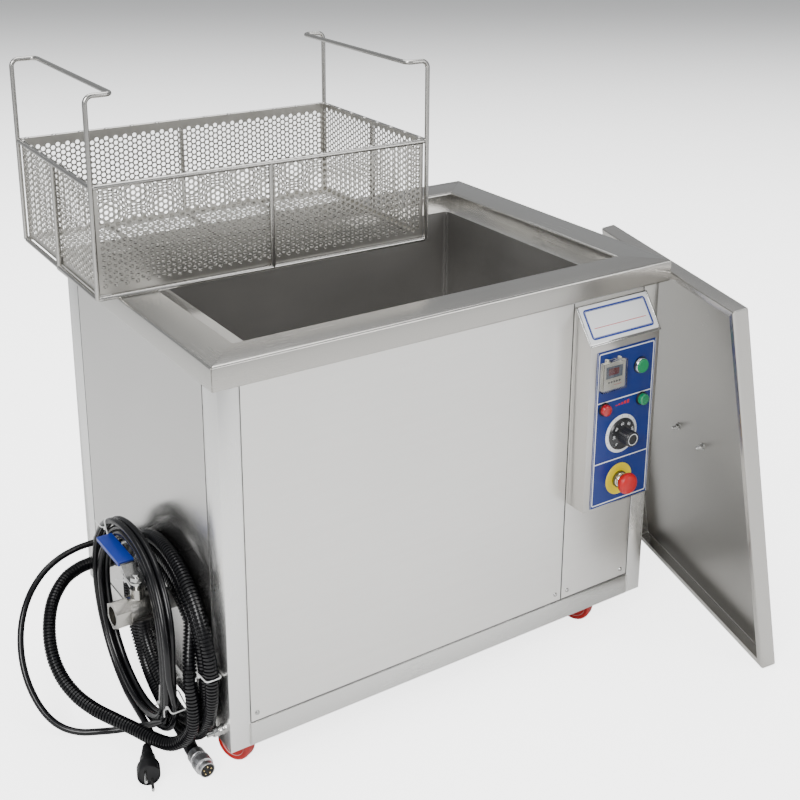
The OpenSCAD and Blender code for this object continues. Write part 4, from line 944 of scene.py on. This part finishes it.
# A sheet with round holes in upright columns, every other column half a pitch higher, and a plain margin.
def perforated(name, width, height, top, place, hole, pitch, thick):
    wide = pitch * 0.866
    pairs = int((width - 0.004) / (2 * wide))
    rows = int((height - top - 0.001) / pitch)
    first = repeat(holeTile(name, hole, wide, pitch, 0), rows, (0, pitch, 0))
    second = repeat(holeTile(name, hole, wide, pitch, pitch / 2), rows - 1, (0, pitch, 0))
    second.location = (wide, 0, 0)
    settle(second)
    for edge, step in ((pitch / 2, -pitch / 2), (rows * pitch - pitch / 2, pitch / 2)):
        pickEdges(second, lambda a, b: abs(a.y - edge) < 1e-5 and abs(b.y - edge) < 1e-5)
        bpy.ops.mesh.extrude_edges_move(TRANSFORM_OT_translate={"value": (0, step, 0)})
        bpy.ops.object.mode_set(mode="OBJECT")
    obj = repeat(joinAs(name, [first, second]), pairs, (2 * wide, 0, 0))
    across, tall = pairs * 2 * wide, rows * pitch
    side = (width - across) / 2
    bottom = height - top - tall
    for axis, edge, step in ((0, 0, (-side, 0, 0)), (0, across, (side, 0, 0)), (1, 0, (0, -bottom, 0)),
                             (1, tall, (0, top, 0))):
        pickEdges(obj, lambda a, b: abs(a[axis] - edge) < 1e-5 and abs(b[axis] - edge) < 1e-5)
        bpy.ops.mesh.extrude_edges_move(TRANSFORM_OT_translate={"value": step})
        bpy.ops.object.mode_set(mode="OBJECT")
    bpy.ops.object.mode_set(mode="EDIT")
    bpy.ops.mesh.select_all(action="SELECT")
    bpy.ops.mesh.remove_doubles(threshold=0.00002)
    bpy.ops.mesh.normals_make_consistent(inside=False)
    bpy.ops.object.mode_set(mode="OBJECT")
    m = obj.modifiers.new("thick", "SOLIDIFY")
    m.thickness, m.offset = thick, 0
    applyAll(obj)
    obj.matrix_world = place @ Matrix.Translation((-across / 2, bottom, 0))
    return settle(outwards(obj))


inFromRod = basket["rod"] / 2 + basket["clear"] + basket["sheet"] / 2
sheetX, sheetY = halfL - inFromRod, halfW - inFromRod
sheetLow = basket["rod"] + basket["clear"]
sheetTall = basket["height"] - 0.001 - sheetLow
upright = Matrix.Rotation(math.radians(90), 4, "X")
quarter = Matrix.Rotation(math.radians(90), 4, "Z")
walls = {
    "basketFront": (2 * sheetX, sheetTall, basket["margin"],
                    Matrix.Translation((0, -sheetY, sheetLow)) @ upright),
    "basketBack": (2 * sheetX, sheetTall, basket["marginBack"],
                   Matrix.Translation((0, sheetY, sheetLow)) @ upright),
    "basketLeft": (2 * sheetY, sheetTall, basket["margin"],
                   Matrix.Translation((-sheetX, 0, sheetLow)) @ quarter @ upright),
    "basketRight": (2 * sheetY, sheetTall, basket["margin"],
                    Matrix.Translation((sheetX, 0, sheetLow)) @ quarter @ upright),
    "basketFloor": (2 * sheetX, 2 * sheetY, 0.006,
                    Matrix.Translation((0, -sheetY, sheetLow + basket["sheet"] / 2))),
}
for name, (w, h, top, place) in walls.items():
    wall = perforated(name, w, h, top, basketPlace @ place, basket["hole"], basket["pitch"], basket["sheet"])
    dress(wall, steel["perforated"], "basket", 30,
          stands=("basket_sheets",) if name == "basketFloor" else ())
print("stage: basket sheets")

r = basket["rod"] / 2
rods = []
for z in (low, high):
    ring = [inBasket(x, y, z) for x, y in ((-halfL, -halfW), (halfL, -halfW), (halfL, halfW), (-halfL, halfW))]
    rods.append(bentRod("basketRing", ring, r, 0.009, closed=True))
for x, y in ((0, -halfW), (0, halfW), (-halfL, 0), (halfL, 0)):
    rods.append(bentRod("basketMid", [inBasket(x, y, low), inBasket(x, y, high)], r))
for x in (-halfL / 2, 0, halfL / 2):
    rods.append(bentRod("basketFoot", [inBasket(x, -halfW, low), inBasket(x, halfW, low)], r))
dress(joinAs("basketRods", rods), steel["rod"], "basket", 40, stands=("basket_frame",))
grips = []
for s in (-1, 1):
    inner, top = s * (halfL - basket["gripIn"]), basket["grip"] - r
    way = [(s * halfL, -halfW, low), (s * halfL, -halfW, top), (inner, -halfW, top), (inner, halfW, top),
           (s * halfL, halfW, top), (s * halfL, halfW, low)]
    grips.append(bentRod("basketGrip", [inBasket(*p) for p in way], r, 0.012))
dress(joinAs("basketGrips", grips), steel["rod"], "basket", 40, stands=("basket_handles",))
spots = []
spot = turned("weldSpot", [(0.0034, 0), (0.0042, 0.0008), (0.0036, 0.0019), (0.0018, 0.0026)], (0, 0, 0),
              (0, 0, 1), 10)
spotsAt = [((i - 6) * halfL / 6.3, s * (halfW - r * 0.8)) for i in range(13) for s in (-1, 1)]
spotsAt += [(s * (halfL - r * 0.8), (i - 3.5) * halfW / 3.9) for i in range(8) for s in (-1, 1)]
for x, y in spotsAt:
    spots.append(copyOf(spot, "weldSpot", Matrix.Translation(inBasket(x, y, high + r * 0.55))))
bpy.data.objects.remove(spot)
dress(joinAs("basketSpots", spots), steel["weld"], "basket", 50)
print("stage: basket rods")

boxLo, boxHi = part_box("control_box")
filmLo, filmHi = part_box("control_overlay")
faceY = filmLo.y
toFront = Vector((0, -1, 0))
mid = (boxLo.x + boxHi.x) / 2
dress(softened("control_box", "controlBox", 0.0011), steel["box"], "cabinet", 40,
      stands=("control_box",))
film = softened("control_overlay", "controlFilm", 0)
dress(film, plastic["film"], "cabinet", 30, stands=("control_overlay",))

overlay = {"inset": 0.0032, "line": 0.0019, "corner": 0.004, "rules": (0.487, 0.374), "bars": 5}


def onFilm(x, z, out=0.0):
    return onFace((x, faceY - out, z), (1, 0, 0), toFront)


w, h = filmHi.x - filmLo.x, filmHi.z - filmLo.z
filmX, filmZ = (filmLo.x + filmHi.x) / 2, (filmLo.z + filmHi.z) / 2
lines = [printed("filmBorder", w - 2 * overlay["inset"], h - 2 * overlay["inset"], overlay["corner"],
                 onFilm(filmX, filmZ), overlay["line"])]
lines += [printed("filmRule", w - 2 * overlay["inset"] - 0.002, overlay["line"], 0,
                  onFilm(filmX, z)) for z in overlay["rules"]]
for s in (-1, 1):
    lines.append(printed("filmEdge", 0.0005, h, 0, onFilm(filmX + s * (w / 2 - 0.0006), filmZ)))
dress(joinAs("filmLines", lines), plastic["ink"], "cabinet", 30)
lampZ = (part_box("red_lamp")[0].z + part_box("red_lamp")[1].z) / 2
bars = []
for i in range(overlay["bars"]):
    bars.append(printed("heatBar", 0.0042, 0.0016 + i * 0.0012, 0,
                        onFilm(mid - 0.014 + i * 0.0065, lampZ + 0.0005 * i)))
dress(joinAs("heatBars", bars), plastic["inkRed"], "cabinet", 30)

plate = {
    "low": 0.592, "high": 0.650, "side": 0.0032, "bead": 0.0022, "border": 0.0030, "inner": 0.0009,
    "sheet": 0.0012, "faceCorner": 0.002, "outerCorner": 0.006, "innerCorner": 0.004,
}
plateLo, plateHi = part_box("nameplate")
slopeLow, slopeHigh = Vector((mid, boxLo.y, plate["low"])), Vector((mid, boxHi.y, plate["high"]))
rise = (slopeHigh - slopeLow).normalized()
outN = Vector((1, 0, 0)).cross(rise)
plateW, plateH = plateHi.x - plateLo.x, (slopeHigh - slopeLow).length
plateMid = (slopeLow + slopeHigh) / 2


def onSlope(where):
    return onFace(where, (1, 0, 0), outN)


shape = printed("plateBase", plateW, plateH, 0, onSlope(plateMid + outN * 0.0001), None, plate["sheet"])
edges = [roundEdges(shape, 0.0004)]
edgeRuns = [((plateMid.x + s * (plateW / 2 - plate["side"] / 2), plateMid.y, plateMid.z), plate["side"],
             plateH) for s in (-1, 1)]
edgeRuns.append((slopeLow + rise * plate["side"] / 2, plateW, plate["side"]))
for at, wide, tall in edgeRuns:
    edges.append(roundEdges(printed("plateEdge", wide, tall, 0, onSlope(at), None, plate["bead"]), 0.0009, 3))
dress(joinAs("namePlate", edges), steel["chromeSoft"], "cabinet", 40, stands=("nameplate",))
up = outN * (0.0001 + plate["sheet"])
faceW, faceH = plateW - 2 * plate["side"] - 0.001, plateH - plate["side"] - 0.003
faceMid = plateMid + rise * plate["side"] / 2 + up
face = printed("plateFace", faceW, faceH, plate["faceCorner"], onSlope(faceMid))
dress(face, plastic["plate"], "cabinet", 30)
inkMid = faceMid + outN * 0.0001
frames = [printed("plateBorder", faceW - 0.013, faceH - 0.012, plate["outerCorner"], onSlope(inkMid),
                  plate["border"]),
          printed("plateLine", faceW - 0.0195, faceH - 0.0185, plate["innerCorner"], onSlope(inkMid),
                  plate["inner"])]
dress(joinAs("plateBorders", frames), plastic["inkBlue"], "cabinet", 30)
rule = printed("plateRule", faceW - 0.036, 0.0011, 0, onSlope(inkMid - rise * faceH * 0.12))
dress(rule, plastic["inkRed"], "cabinet", 30)

timerLo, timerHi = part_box("timer")
timer = {
    "middle": 0.536, "marks": 5, "markStep": 0.0058, "marksDown": -0.0105, "front": 0.0071,
    "screen": (0.0356, 0.0205, 0.0006), "window": (0.022, 0.0115, 0.0008), "frame": (0.041, 0.041, 0.002),
    "longMark": (0.0022, 0.0034, 0.0004), "shortMark": (0.0009, 0.0018, 0), "line": (0.016, 0.0007, 0),
}
timerX = (timerLo.x + timerHi.x) / 2
dress(softened("timer", "timerCase", 0.0006), plastic["cream"], "cabinet", 40, stands=("timer",))


# A flat piece on the timer's face: its (width, height, corner), its place and how far out it lies.
def timerPiece(name, size, x, z, out, line=None, thick=0.00012):
    return printed(name, *size, onFace((timerX + x, faceY - out, timer["middle"] + z), (1, 0, 0), toFront),
                   line, thick)


timerPieces = [
    (timerPiece("timerScreen", timer["screen"], 0, 0.0065, 0.0062, None, 0.0006), "smoke"),
    (timerPiece("timerWindow", timer["window"], -0.001, 0.0075, 0.0069, None, 0.0003), "window"),
]
marks = []
for size, shift in ((timer["longMark"], 0), (timer["shortMark"], 0.0026)):
    for i in range(timer["marks"]):
        marks.append(timerPiece("timerMark", size, (i - 2) * timer["markStep"] + shift, timer["marksDown"],
                                timer["front"], None, 0.0003))
timerPieces += [
    (joinAs("timerMarks", marks), "black"),
    (timerPiece("timerLine", timer["line"], 0.008, -0.0165, timer["front"]), "inkRed"),
    (timerPiece("timerFrame", timer["frame"], 0, 0, 0.007, 0.0005), "hub"),
]
for piece, finish in timerPieces:
    dress(piece, plastic[finish], "cabinet", 30)
cover = softened("timer_cover", "timerCover", 0.0007, 3)
dress(cover, plastic["clear"], "timer_cover", 40, stands=("timer_cover",))

bezelLo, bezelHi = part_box("start_bezel")
# Turned pieces are (radius, out from the face) rings.
startButton = {
    "sides": 48,
    "base": [(0.01475, 0), (0.01475, 0.0019), (0.0143, 0.0024), (0.0132, 0.0024)],
    "ring": [(0.0138, 0.0024), (0.0134, 0.0034), (0.0133, 0.0046), (0.0129, 0.0056), (0.0124, 0.0060),
             (0.0120, 0.0057), (0.0119, 0.0026)],
    "cap": [(0.009, -0.018), (0.009, 0.0048), (0.0114, 0.0048), (0.0117, 0.0051), (0.0117, 0.0079),
            (0.0113, 0.0084), (0.0104, 0.0085), (0.004, 0.0082)],
}
startAt = ((bezelLo.x + bezelHi.x) / 2, faceY, (bezelLo.z + bezelHi.z) / 2)
startBase = turned("startBase", startButton["base"], startAt, toFront, startButton["sides"])
dress(startBase, plastic["black"], "cabinet", 40, stands=("start_bezel",))
startRing = turned("startRing", startButton["ring"], startAt, toFront, startButton["sides"])
dress(startRing, steel["chrome"], "cabinet", 50)
startCap = turned("startCap", startButton["cap"], startAt, toFront, startButton["sides"])
dress(startCap, plastic["green"], "start_button", 40, stands=("start_button",))

lamp = {
    "sides": 40,
    "base": [(0.012, 0), (0.012, 0.0022), (0.0114, 0.003), (0.0101, 0.003), (0.0100, 0.0012)],
    "lens": [(0.0098, 0.0012), (0.0098, 0.0040), (0.0094, 0.0043), (0.0098, 0.0047), (0.0098, 0.0088),
             (0.0093, 0.0100), (0.0082, 0.0108), (0.0055, 0.0110), (0.0020, 0.0110)],
}
for node, key, slot in (("red_lamp", "redLens", "red_lens"), ("green_lamp", "greenLens", "green_lens")):
    lo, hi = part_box(node)
    at = ((lo.x + hi.x) / 2, faceY, (lo.z + hi.z) / 2)
    name = node.replace("_l", "L")
    dress(turned(name + "Base", lamp["base"], at, toFront, lamp["sides"]), plastic["black"], "cabinet",
          40)
    dress(turned(name, lamp["lens"], at, toFront, lamp["sides"]), plastic[key], "cabinet", 40,
          stands=(node,))

dial = {
    "numbers": ("0", "20", "40", "60", "80", "100"), "first": -135, "step": 42, "ticks": 51, "size": 0.0068,
    "plate": [(0.035, 0), (0.035, 0.0007), (0.0346, 0.001), (0.020, 0.001)],
    "knob": [(0.0288, 0.0015), (0.0290, 0.0022), (0.0286, 0.0032), (0.0262, 0.0056), (0.0165, 0.0060),
             (0.0144, 0.0066), (0.0140, 0.0080), (0.0137, 0.0280), (0.0132, 0.0293), (0.0122, 0.0300),
             (0.0108, 0.0300), (0.0106, 0.0296), (0.0040, 0.0296)],
    "flute": 0.0007, "fluteFrom": 0.0085, "fluteTo": 0.0275, "fluteStep": 5, "markStep": 27,
}
dialLo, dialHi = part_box("heat_knob")
knobAt = Vector(((dialLo.x + dialHi.x) / 2, faceY, (dialLo.z + dialHi.z) / 2))
plateRing = turned("dialPlate", dial["plate"], knobAt, toFront, 64)
dress(plateRing, plastic["plate"], "cabinet", 40, stands=("dial_plate",))


# A place on the dial: turned round the knob's centre, then up, and out from the face.
def onDial(angle, up, out, lean=(0, -1, 0)):
    return (Matrix.Translation(knobAt) @ Matrix.Rotation(math.radians(angle), 4, "Y")
            @ onFace((0, -out, up), (1, 0, 0), lean))


ringMarks = [printed("dialMark", 0.0006, 0.0028, 0, onDial(a, 0.0325, 0.001))
             for a in range(dial["first"], 1 - dial["first"], dial["markStep"])]
dress(joinAs("dialMarks", ringMarks), plastic["black"], "cabinet", 30)
knob = turned("heatKnob", dial["knob"], knobAt, toFront, 72)
pickFaces(knob, lambda c, n: faceY - dial["fluteTo"] < c.y < faceY - dial["fluteFrom"] and abs(n.y) < 0.2
          and math.degrees(math.atan2(c.x - knobAt.x, c.z - knobAt.z)) // dial["fluteStep"] % 3 == 0)
sinkFaces(dial["flute"])
dress(knob, plastic["knob"], "heat_knob", 35, stands=("heat_knob",))
prints = [printed("knobRing", 0.0206, 0.0206, 0.0100, onFace(knobAt + toFront * 0.0296, (1, 0, 0), toFront),
                  0.0011)]
for i in range(dial["ticks"]):
    a = dial["first"] + i * dial["step"] * 5 / (dial["ticks"] - 1)
    tall = 0.0026 if i % 5 == 0 else 0.0014
    prints.append(printed("knobTick", 0.00042, tall, 0, onDial(a, 0.0273 - tall / 2, 0.0047, (0, -0.74, 0.67)),
                          None, 0.0003))
for i, label in enumerate(dial["numbers"]):
    clearPick()
    bpy.ops.object.text_add()
    number = bpy.context.object
    number.data.body, number.data.size, number.data.extrude = label, dial["size"], 0.0001
    number.data.align_x, number.data.align_y = "CENTER", "CENTER"
    pick(number)
    bpy.ops.object.convert(target="MESH")
    number = bpy.context.object
    number.name = "knobNumber"
    number.matrix_world = onDial(dial["first"] + i * dial["step"], 0.0205, 0.0060)
    prints.append(settle(number))
dress(joinAs("knobPrints", prints), plastic["ink"], "heat_knob", 30)

collarLo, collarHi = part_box("stop_collar")
stopAt = ((collarLo.x + collarHi.x) / 2, faceY, (collarLo.z + collarHi.z) / 2)
stopButton = {
    "ring": [(0.029, 0), (0.029, 0.0011), (0.0286, 0.0015), (0.0150, 0.0015)],
    "nut": [(0.0150, 0.0015), (0.0150, 0.0048), (0.0144, 0.0054), (0.0128, 0.0054)],
    "sleeve": [(0.0128, 0.0054), (0.0128, 0.0066), (0.0120, 0.0072), (0.0120, 0.0102), (0.0116, 0.0108),
               (0.0082, 0.0108)],
    "head": [(0.0052, 0.0184), (0.0168, 0.0184), (0.0182, 0.0192), (0.0189, 0.0208), (0.0190, 0.0232),
             (0.0187, 0.0256), (0.0178, 0.0278), (0.0162, 0.0297), (0.0138, 0.0311), (0.0105, 0.0319),
             (0.0060, 0.0322), (0.0020, 0.0322)],
}
stopRing = turned("stopRing", stopButton["ring"], stopAt, toFront, 64)
dress(stopRing, plastic["yellow"], "cabinet", 40, stands=("stop_collar",))
dress(turned("stopNut", stopButton["nut"], stopAt, toFront, 48), plastic["olive"], "cabinet",
      40)
dress(turned("stopSleeve", stopButton["sleeve"], stopAt, toFront, 48), steel["chrome"], "cabinet",
      40)
dress(softened("stop_stem", "stopStem", 0.0004), plastic["stopRed"], "stop_stem", 40,
      stands=("stop_stem",))
stopHead = turned("stopHead", stopButton["head"], stopAt, toFront, 56)
dress(stopHead, plastic["stopRed"], "stop_head", 50, stands=("stop_head",))
print("stage: controls")

# Half of each wheel's rings, as (radius, in from the side face).
wheel = {
    "width": 0.024,
    "tyre": [(0.0210, 0.0022), (0.0262, 0.0004), (0.0282, 0.0012), (0.0294, 0.0032), (0.0300, 0.0062)],
    "hub": [(0.0062, 0.0002), (0.0092, 0.0002), (0.0096, 0.0024), (0.0150, 0.0040), (0.0196, 0.0034),
            (0.0212, 0.0016)],
}
casters = ("front_left", "rear_left", "front_right", "rear_right")
joints = {j["name"]: j for j in frame["joints"]}


def jointPlace(name):
    j = joints[name]
    return Vector(j["pos_m"]), Vector(j["axis"])


middle, axle = jointPlace("roll_front_left")
half = wheel["width"] / 2


def bothSides(rings):
    return [(r, -half + h) for r, h in rings] + [(r, half - h) for r, h in reversed(rings)]


tyre = turned("tyre", bothSides(wheel["tyre"]), middle, axle, 64)
core = turned("hub", bothSides(wheel["hub"]), middle, axle, 48)
for name in casters:
    move = Matrix.Translation(jointPlace("roll_" + name)[0] - middle)
    label = "".join(w.title() for w in name.split("_"))
    dress(copyOf(tyre, "tyre" + label, move), plastic["tyre"], "wheel_" + name, 40,
          stands=("wheel_" + name,))
    dress(copyOf(core, "hub" + label, move), plastic["hub"], "wheel_" + name, 40)
    dress(softened("fork_" + name, "fork" + label, 0.0004), steel["zinc"], "fork_" + name, 40,
          stands=("fork_" + name,))
bpy.data.objects.remove(tyre)
bpy.data.objects.remove(core)
paint(["caster_plates"], steel["zinc"])
print("stage: casters")

dress(softened("valve_body", "valveBody", 0.0010, 2, 35), steel["nickel"], "cabinet", 20,
      stands=("valve_body",))
dress(softened("valve_lever", "valveLever", 0.0005, 2, 40), steel["chromeSoft"], "valve_lever",
      20, stands=("valve_lever",))
sleeve = softened("lever_sleeve", "leverSleeve", 0.0026, 4, 40)
dress(sleeve, plastic["sleeve"], "valve_lever", 50, stands=("lever_sleeve",))
paint(["valve_ball"], steel["chromeSoft"])
dress(softened("earth_stud", "earthStud", 0.0004, 2, 35), steel["zinc"], "cabinet", 40,
      stands=("earth_stud",))
# The drain pipe takes the well's darker steel, with its painted shade.
paint(["drain_pipe"], steel["tank"])

# Each gland is (tip, nut radius, cord radius); its grip is every other face of the nut, sunk a little.
gland = {
    "cable": (Vector((-0.511, 0.224, 0.216)), 0.0135, 0.0055),
    "conduit": (Vector((-0.511, 0.218, 0.182)), 0.0168, 0.0110),
    "sides": 24, "gripFrom": 0.012, "gripTo": 0.0135, "grip": 0.0007,
}
for key in ("cable", "conduit"):
    at, wide, cord = gland[key]
    out = cabinetLeft - at.x
    rings = [(wide * 0.92, -0.010), (wide * 0.92, 0.0004), (wide * 1.09, 0.0004), (wide * 1.09, 0.0070),
             (wide * 0.98, 0.0078), (wide * 0.94, 0.0110), (wide * 1.0, 0.0118), (wide * 1.0, out - 0.0130),
             (wide * 0.96, out - 0.0080), (wide * 0.80, out - 0.0025), (cord * 1.12, out)]
    piece = turned(key + "Gland", rings, (cabinetLeft, at.y, at.z), (-1, 0, 0), gland["sides"])
    stepAngle = 360 / gland["sides"]
    pickFaces(piece, lambda c, n: at.x + gland["gripTo"] < c.x < cabinetLeft - gland["gripFrom"]
              and abs(n.x) < 0.2
              and round(math.degrees(math.atan2(c.y - at.y, c.z - at.z)) / stepAngle - 0.5) % 2 == 0)
    sinkFaces(gland["grip"])
    dress(piece, plastic["black"], "cabinet", 35, stands=(key + "_gland",))

plug = {
    "pin": 0.0024, "apart": 0.0095, "reliefRings": 5, "pinFoot": 0.0495, "tilt": (0.5, 0.866),
    "gripFrom": 0.034, "gripTo": 0.049, "gripOut": 0.0164, "grip": 0.0022,
    "body": [(0.0098, 0.0060), (0.0118, 0.0100), (0.0128, 0.0180), (0.0142, 0.0240), (0.0172, 0.0300),
             (0.0180, 0.0330), (0.0180, 0.0500), (0.0176, 0.0520), (0.0164, 0.0525), (0.0160, 0.0500),
             (0.0040, 0.0498)],
}
rings = [(0.0058, -0.018)]
for i in range(plug["reliefRings"]):    # the strain relief widens towards the plug
    h, reliefR = -0.016 + i * 0.0042, 0.0066 + i * 0.0007
    rings += [(reliefR, h), (reliefR, h + 0.0026), (reliefR - 0.0009, h + 0.0029),
              (reliefR - 0.0009, h + 0.0040)]
rings += plug["body"]
plugBody = turned("plugBody", rings, plugAt, plugWay, 40)
plugSide = plugWay.cross(Vector((0, 0, 1))).normalized()
tilt = (plugSide * plug["tilt"][0] + Vector((0, 0, 1)) * plug["tilt"][1]).normalized()
pickFaces(plugBody, lambda c, n: abs(n.dot(plugWay)) < 0.3
          and plug["gripFrom"] < (c - plugAt).dot(plugWay) < plug["gripTo"]
          and abs((c - plugAt).dot(plugWay.cross(tilt))) > plug["gripOut"])
sinkFaces(plug["grip"])
dress(plugBody, plastic["black"], "cabinet", 35, stands=("mains_plug",))
pins = []
for s in (-1, 1):
    foot = plugAt + plugWay * plug["pinFoot"] + tilt * plug["apart"] * s
    pinRings = [(plug["pin"], 0), (plug["pin"], 0.0250), (plug["pin"] * 0.9, 0.0268),
                (plug["pin"] * 0.5, 0.0276)]
    pins.append(turned("plugPin", pinRings, foot, plugWay, 20))
plugPins = dress(joinAs("plugPins", pins), steel["chromeSoft"], "cabinet", 50)

endWay = Vector((0, -1, 0))
connector = {
    "shell": [(0.0134, -0.001), (0.0136, 0.0000), (0.0136, 0.0120), (0.0128, 0.0128), (0.0128, 0.0155),
              (0.0148, 0.0165), (0.0150, 0.0175), (0.0150, 0.0325), (0.0146, 0.0335), (0.0125, 0.0340),
              (0.0125, 0.0430), (0.0121, 0.0438), (0.0110, 0.0438), (0.0108, 0.0400)],
    "insert": [(0.0107, 0.0385), (0.0107, 0.0418), (0.0100, 0.0424), (0.0040, 0.0424)],
    "contact": [(0.0013, 0), (0.0013, 0.0022), (0.0009, 0.0030), (0.0004, 0.0032)],
    "contacts": 5, "contactCircle": 0.0062, "contactFace": 0.0422,
    "gripFrom": 0.018, "gripTo": 0.032, "gripStep": 6, "grip": 0.0008,
}
shell = turned("connectorShell", connector["shell"], conduitEnd, endWay, 60)
pickFaces(shell, lambda c, n: connector["gripFrom"] < (c - conduitEnd).dot(endWay) < connector["gripTo"]
          and abs(n.y) < 0.2
          and math.degrees(math.atan2(c.x - conduitEnd.x, c.z - conduitEnd.z) + 0.01)
          // connector["gripStep"] % 2 == 0)
sinkFaces(connector["grip"])
dress(shell, steel["aluminium"], "cabinet", 35, stands=("conduit_connector",))
insert = turned("connectorInsert", connector["insert"], conduitEnd, endWay, 40)
dress(insert, plastic["black"], "cabinet", 40)
contacts = []
for i in range(connector["contacts"]):
    a = math.radians(360 / connector["contacts"] * i + 90)
    at = (conduitEnd + Vector((math.cos(a), 0, math.sin(a))) * connector["contactCircle"]
          + endWay * connector["contactFace"])
    contacts.append(turned("contact", connector["contact"], at, endWay, 12))
contacts = dress(joinAs("connectorContacts", contacts), steel["brass"], "cabinet", 50)

# A nylon tie, with its lock and the cut tail, round a bundle of (width, height).
tie = {
    "band": 0.0011, "bend": 0.005, "lock": (0.0052, 0.0056), "lockTall": 0.0034, "tail": 0.0010,
    "power": (0.0262, 0.0372), "powerAt": ((-70, 0.004), (150, 0.0)),     # (angle, shift outwards)
    "conduit": (0.0250, 0.0656), "conduitAt": (-95, 10, 100),
}


def coilTie(spec, angle, wide, tall, shift=0.0):
    a = math.radians(angle)
    outward = Vector((0, math.sin(a), -math.cos(a)))
    centre = (Vector((cabinetLeft - spec["out"] - shift, spec["middle"][0], spec["middle"][1]))
              + outward * spec["radius"])
    side = Vector((1, 0, 0))
    ring = [centre + side * wide * u / 2 + outward * tall * v / 2
            for u, v in ((-1, -1), (1, -1), (1, 1), (-1, 1))]
    band = bentRod("tieBand", ring, tie["band"], tie["bend"], closed=True)
    lock = centre - side * wide / 2 + outward * tall * 0.12
    along = outward.cross(side)
    head = printed("tieLock", *tie["lock"], 0, onFace(lock, along, -side), None, tie["lockTall"])
    cutEnd = lock - side * 0.013 + outward * 0.016 + along * 0.004
    tail = bentRod("tieTail", [lock - side * 0.001, lock - side * 0.008 + outward * 0.004, cutEnd], tie["tail"],
                   0.004)
    return [band, roundEdges(head, 0.0006), tail]


ties = []
for angle, shift in tie["powerAt"]:
    ties += coilTie(powerCord, angle, *tie["power"], shift)
for angle in tie["conduitAt"]:
    ties += coilTie(conduit, angle, *tie["conduit"])
dress(joinAs("coilTies", ties), plastic["nylon"], "cabinet", 40, stands=("cable_ties",))
print("stage: drain, plugs and ties")


lid = {
    "wide": 0.470, "long": 0.690, "deep": 0.025, "lip": 0.012, "sheet": 0.0015, "inset": 0.0012, "bead": 0.0012,
    "turn": 16, "lean": 10, "back": 0.204, "holes": 0.088, "reach": 0.041, "grip": 0.0066,
    "foot": [(0.0085, 0.0004), (0.0090, 0.0010), (0.0086, 0.0040), (0.0066, 0.0060)],
    "washer": [(0.0070, 0.0001), (0.0070, 0.0011), (0.0067, 0.0013), (0.0040, 0.0013)],
    "nut": [(0.0052, 0.0013), (0.0057, 0.0018), (0.0057, 0.0055), (0.0051, 0.0062), (0.0030, 0.0062)],
}
leanOut = lid["long"] * math.sin(math.radians(lid["lean"])) + 0.0005
lidPlace = (Matrix.Translation((rimHi.x, rimLo.y, 0)) @ Matrix.Rotation(math.radians(-lid["turn"]), 4, "Z")
            @ Matrix.Translation((leanOut, -lid["back"], 0))
            @ Matrix.Rotation(math.radians(-lid["lean"]), 4, "Y"))
wideIn, longIn = lid["wide"] - lid["inset"], lid["long"] - lid["inset"]
corners = [(0, lid["inset"], lid["inset"]), (0, wideIn, lid["inset"]), (0, wideIn, longIn),
           (0, lid["inset"], longIn)]
edges = foldedRing("lidEdge", corners, (1, 0, 0), (lid["lip"], 0.0),
                   [(-lid["lip"], 0), (0, lid["deep"]), (0.006, 0)], (0, -1), lid["sheet"], 0.0022, 0.0001)
for s in edges:
    s.data.materials.append(steel["lidEdge"])
sheet = addBox("lidSheet", (lid["deep"] - lid["sheet"], 0.0035, 0.0035),
               (lid["deep"] - 0.0002, lid["wide"] - 0.0035, lid["long"] - 0.0035))
sheet.data.materials.append(steel["lidIn"])
pan = joinAs("lidPan", edges + [sheet])
pan.matrix_world = lidPlace
dress(settle(pan), None, "lid", 40, stands=("lid_pan",))
holes = [lid["wide"] / 2 + s * lid["holes"] / 2 for s in (-1, 1)]
beads = []
for (_, y, z), (dy, dz) in zip(corners, ((1, 1), (-1, 1), (-1, -1), (1, -1))):
    y, z = y + dy * 0.0002, z + dz * 0.0002
    beads.append(weldBead("lidBead", (0.002, y, z), (lid["deep"] - 0.002, y, z), lid["bead"]))
welds = joinAs("lidWelds", beads)
welds.matrix_world = lidPlace
dress(settle(welds), steel["weld"], "lid", 50)
halfLong = lid["long"] / 2
gripFoot, gripTop = lid["deep"] + 0.0004, lid["deep"] + lid["reach"] - 0.007
gripWay = [(gripFoot, holes[0], halfLong), (gripTop, holes[0], halfLong), (gripTop, holes[1], halfLong),
           (gripFoot, holes[1], halfLong)]
grip = bentRod("lidHandle", gripWay, lid["grip"], 0.012, sides=6)
feet = [turned("lidFoot", lid["foot"], (lid["deep"], y, halfLong), (1, 0, 0), 32) for y in holes]
grip = joinAs("lidHandle", [grip] + feet)
grip.matrix_world = lidPlace
dress(settle(grip), plastic["black"], "lid", 50, stands=("lid_handle",))
fixings = []
for y in holes:
    at = (lid["deep"] - lid["sheet"], y, halfLong)
    fixings.append(turned("lidWasher", lid["washer"], at, (-1, 0, 0), 32))
    fixings.append(turned("lidNut", lid["nut"], at, (-1, 0, 0), 6))
    threads = [(0.0030, 0.0060)]
    for i in range(6):
        threads += [(0.0030, 0.0064 + i * 0.0012), (0.0026, 0.0070 + i * 0.0012)]
    fixings.append(turned("lidThread", threads + [(0.0022, 0.0138)], at, (-1, 0, 0), 20))
nuts = joinAs("lidNuts", fixings)
nuts.matrix_world = lidPlace
dress(settle(nuts), steel["zinc"], "lid", 30, stands=("lid_nuts",))
print("stage: lid")

paint(["transducers"], steel["aluminium"])
paint(["terminal_block", "thermostat"], plastic["black"])
paint(["heater_pads"], plastic["silicone"])
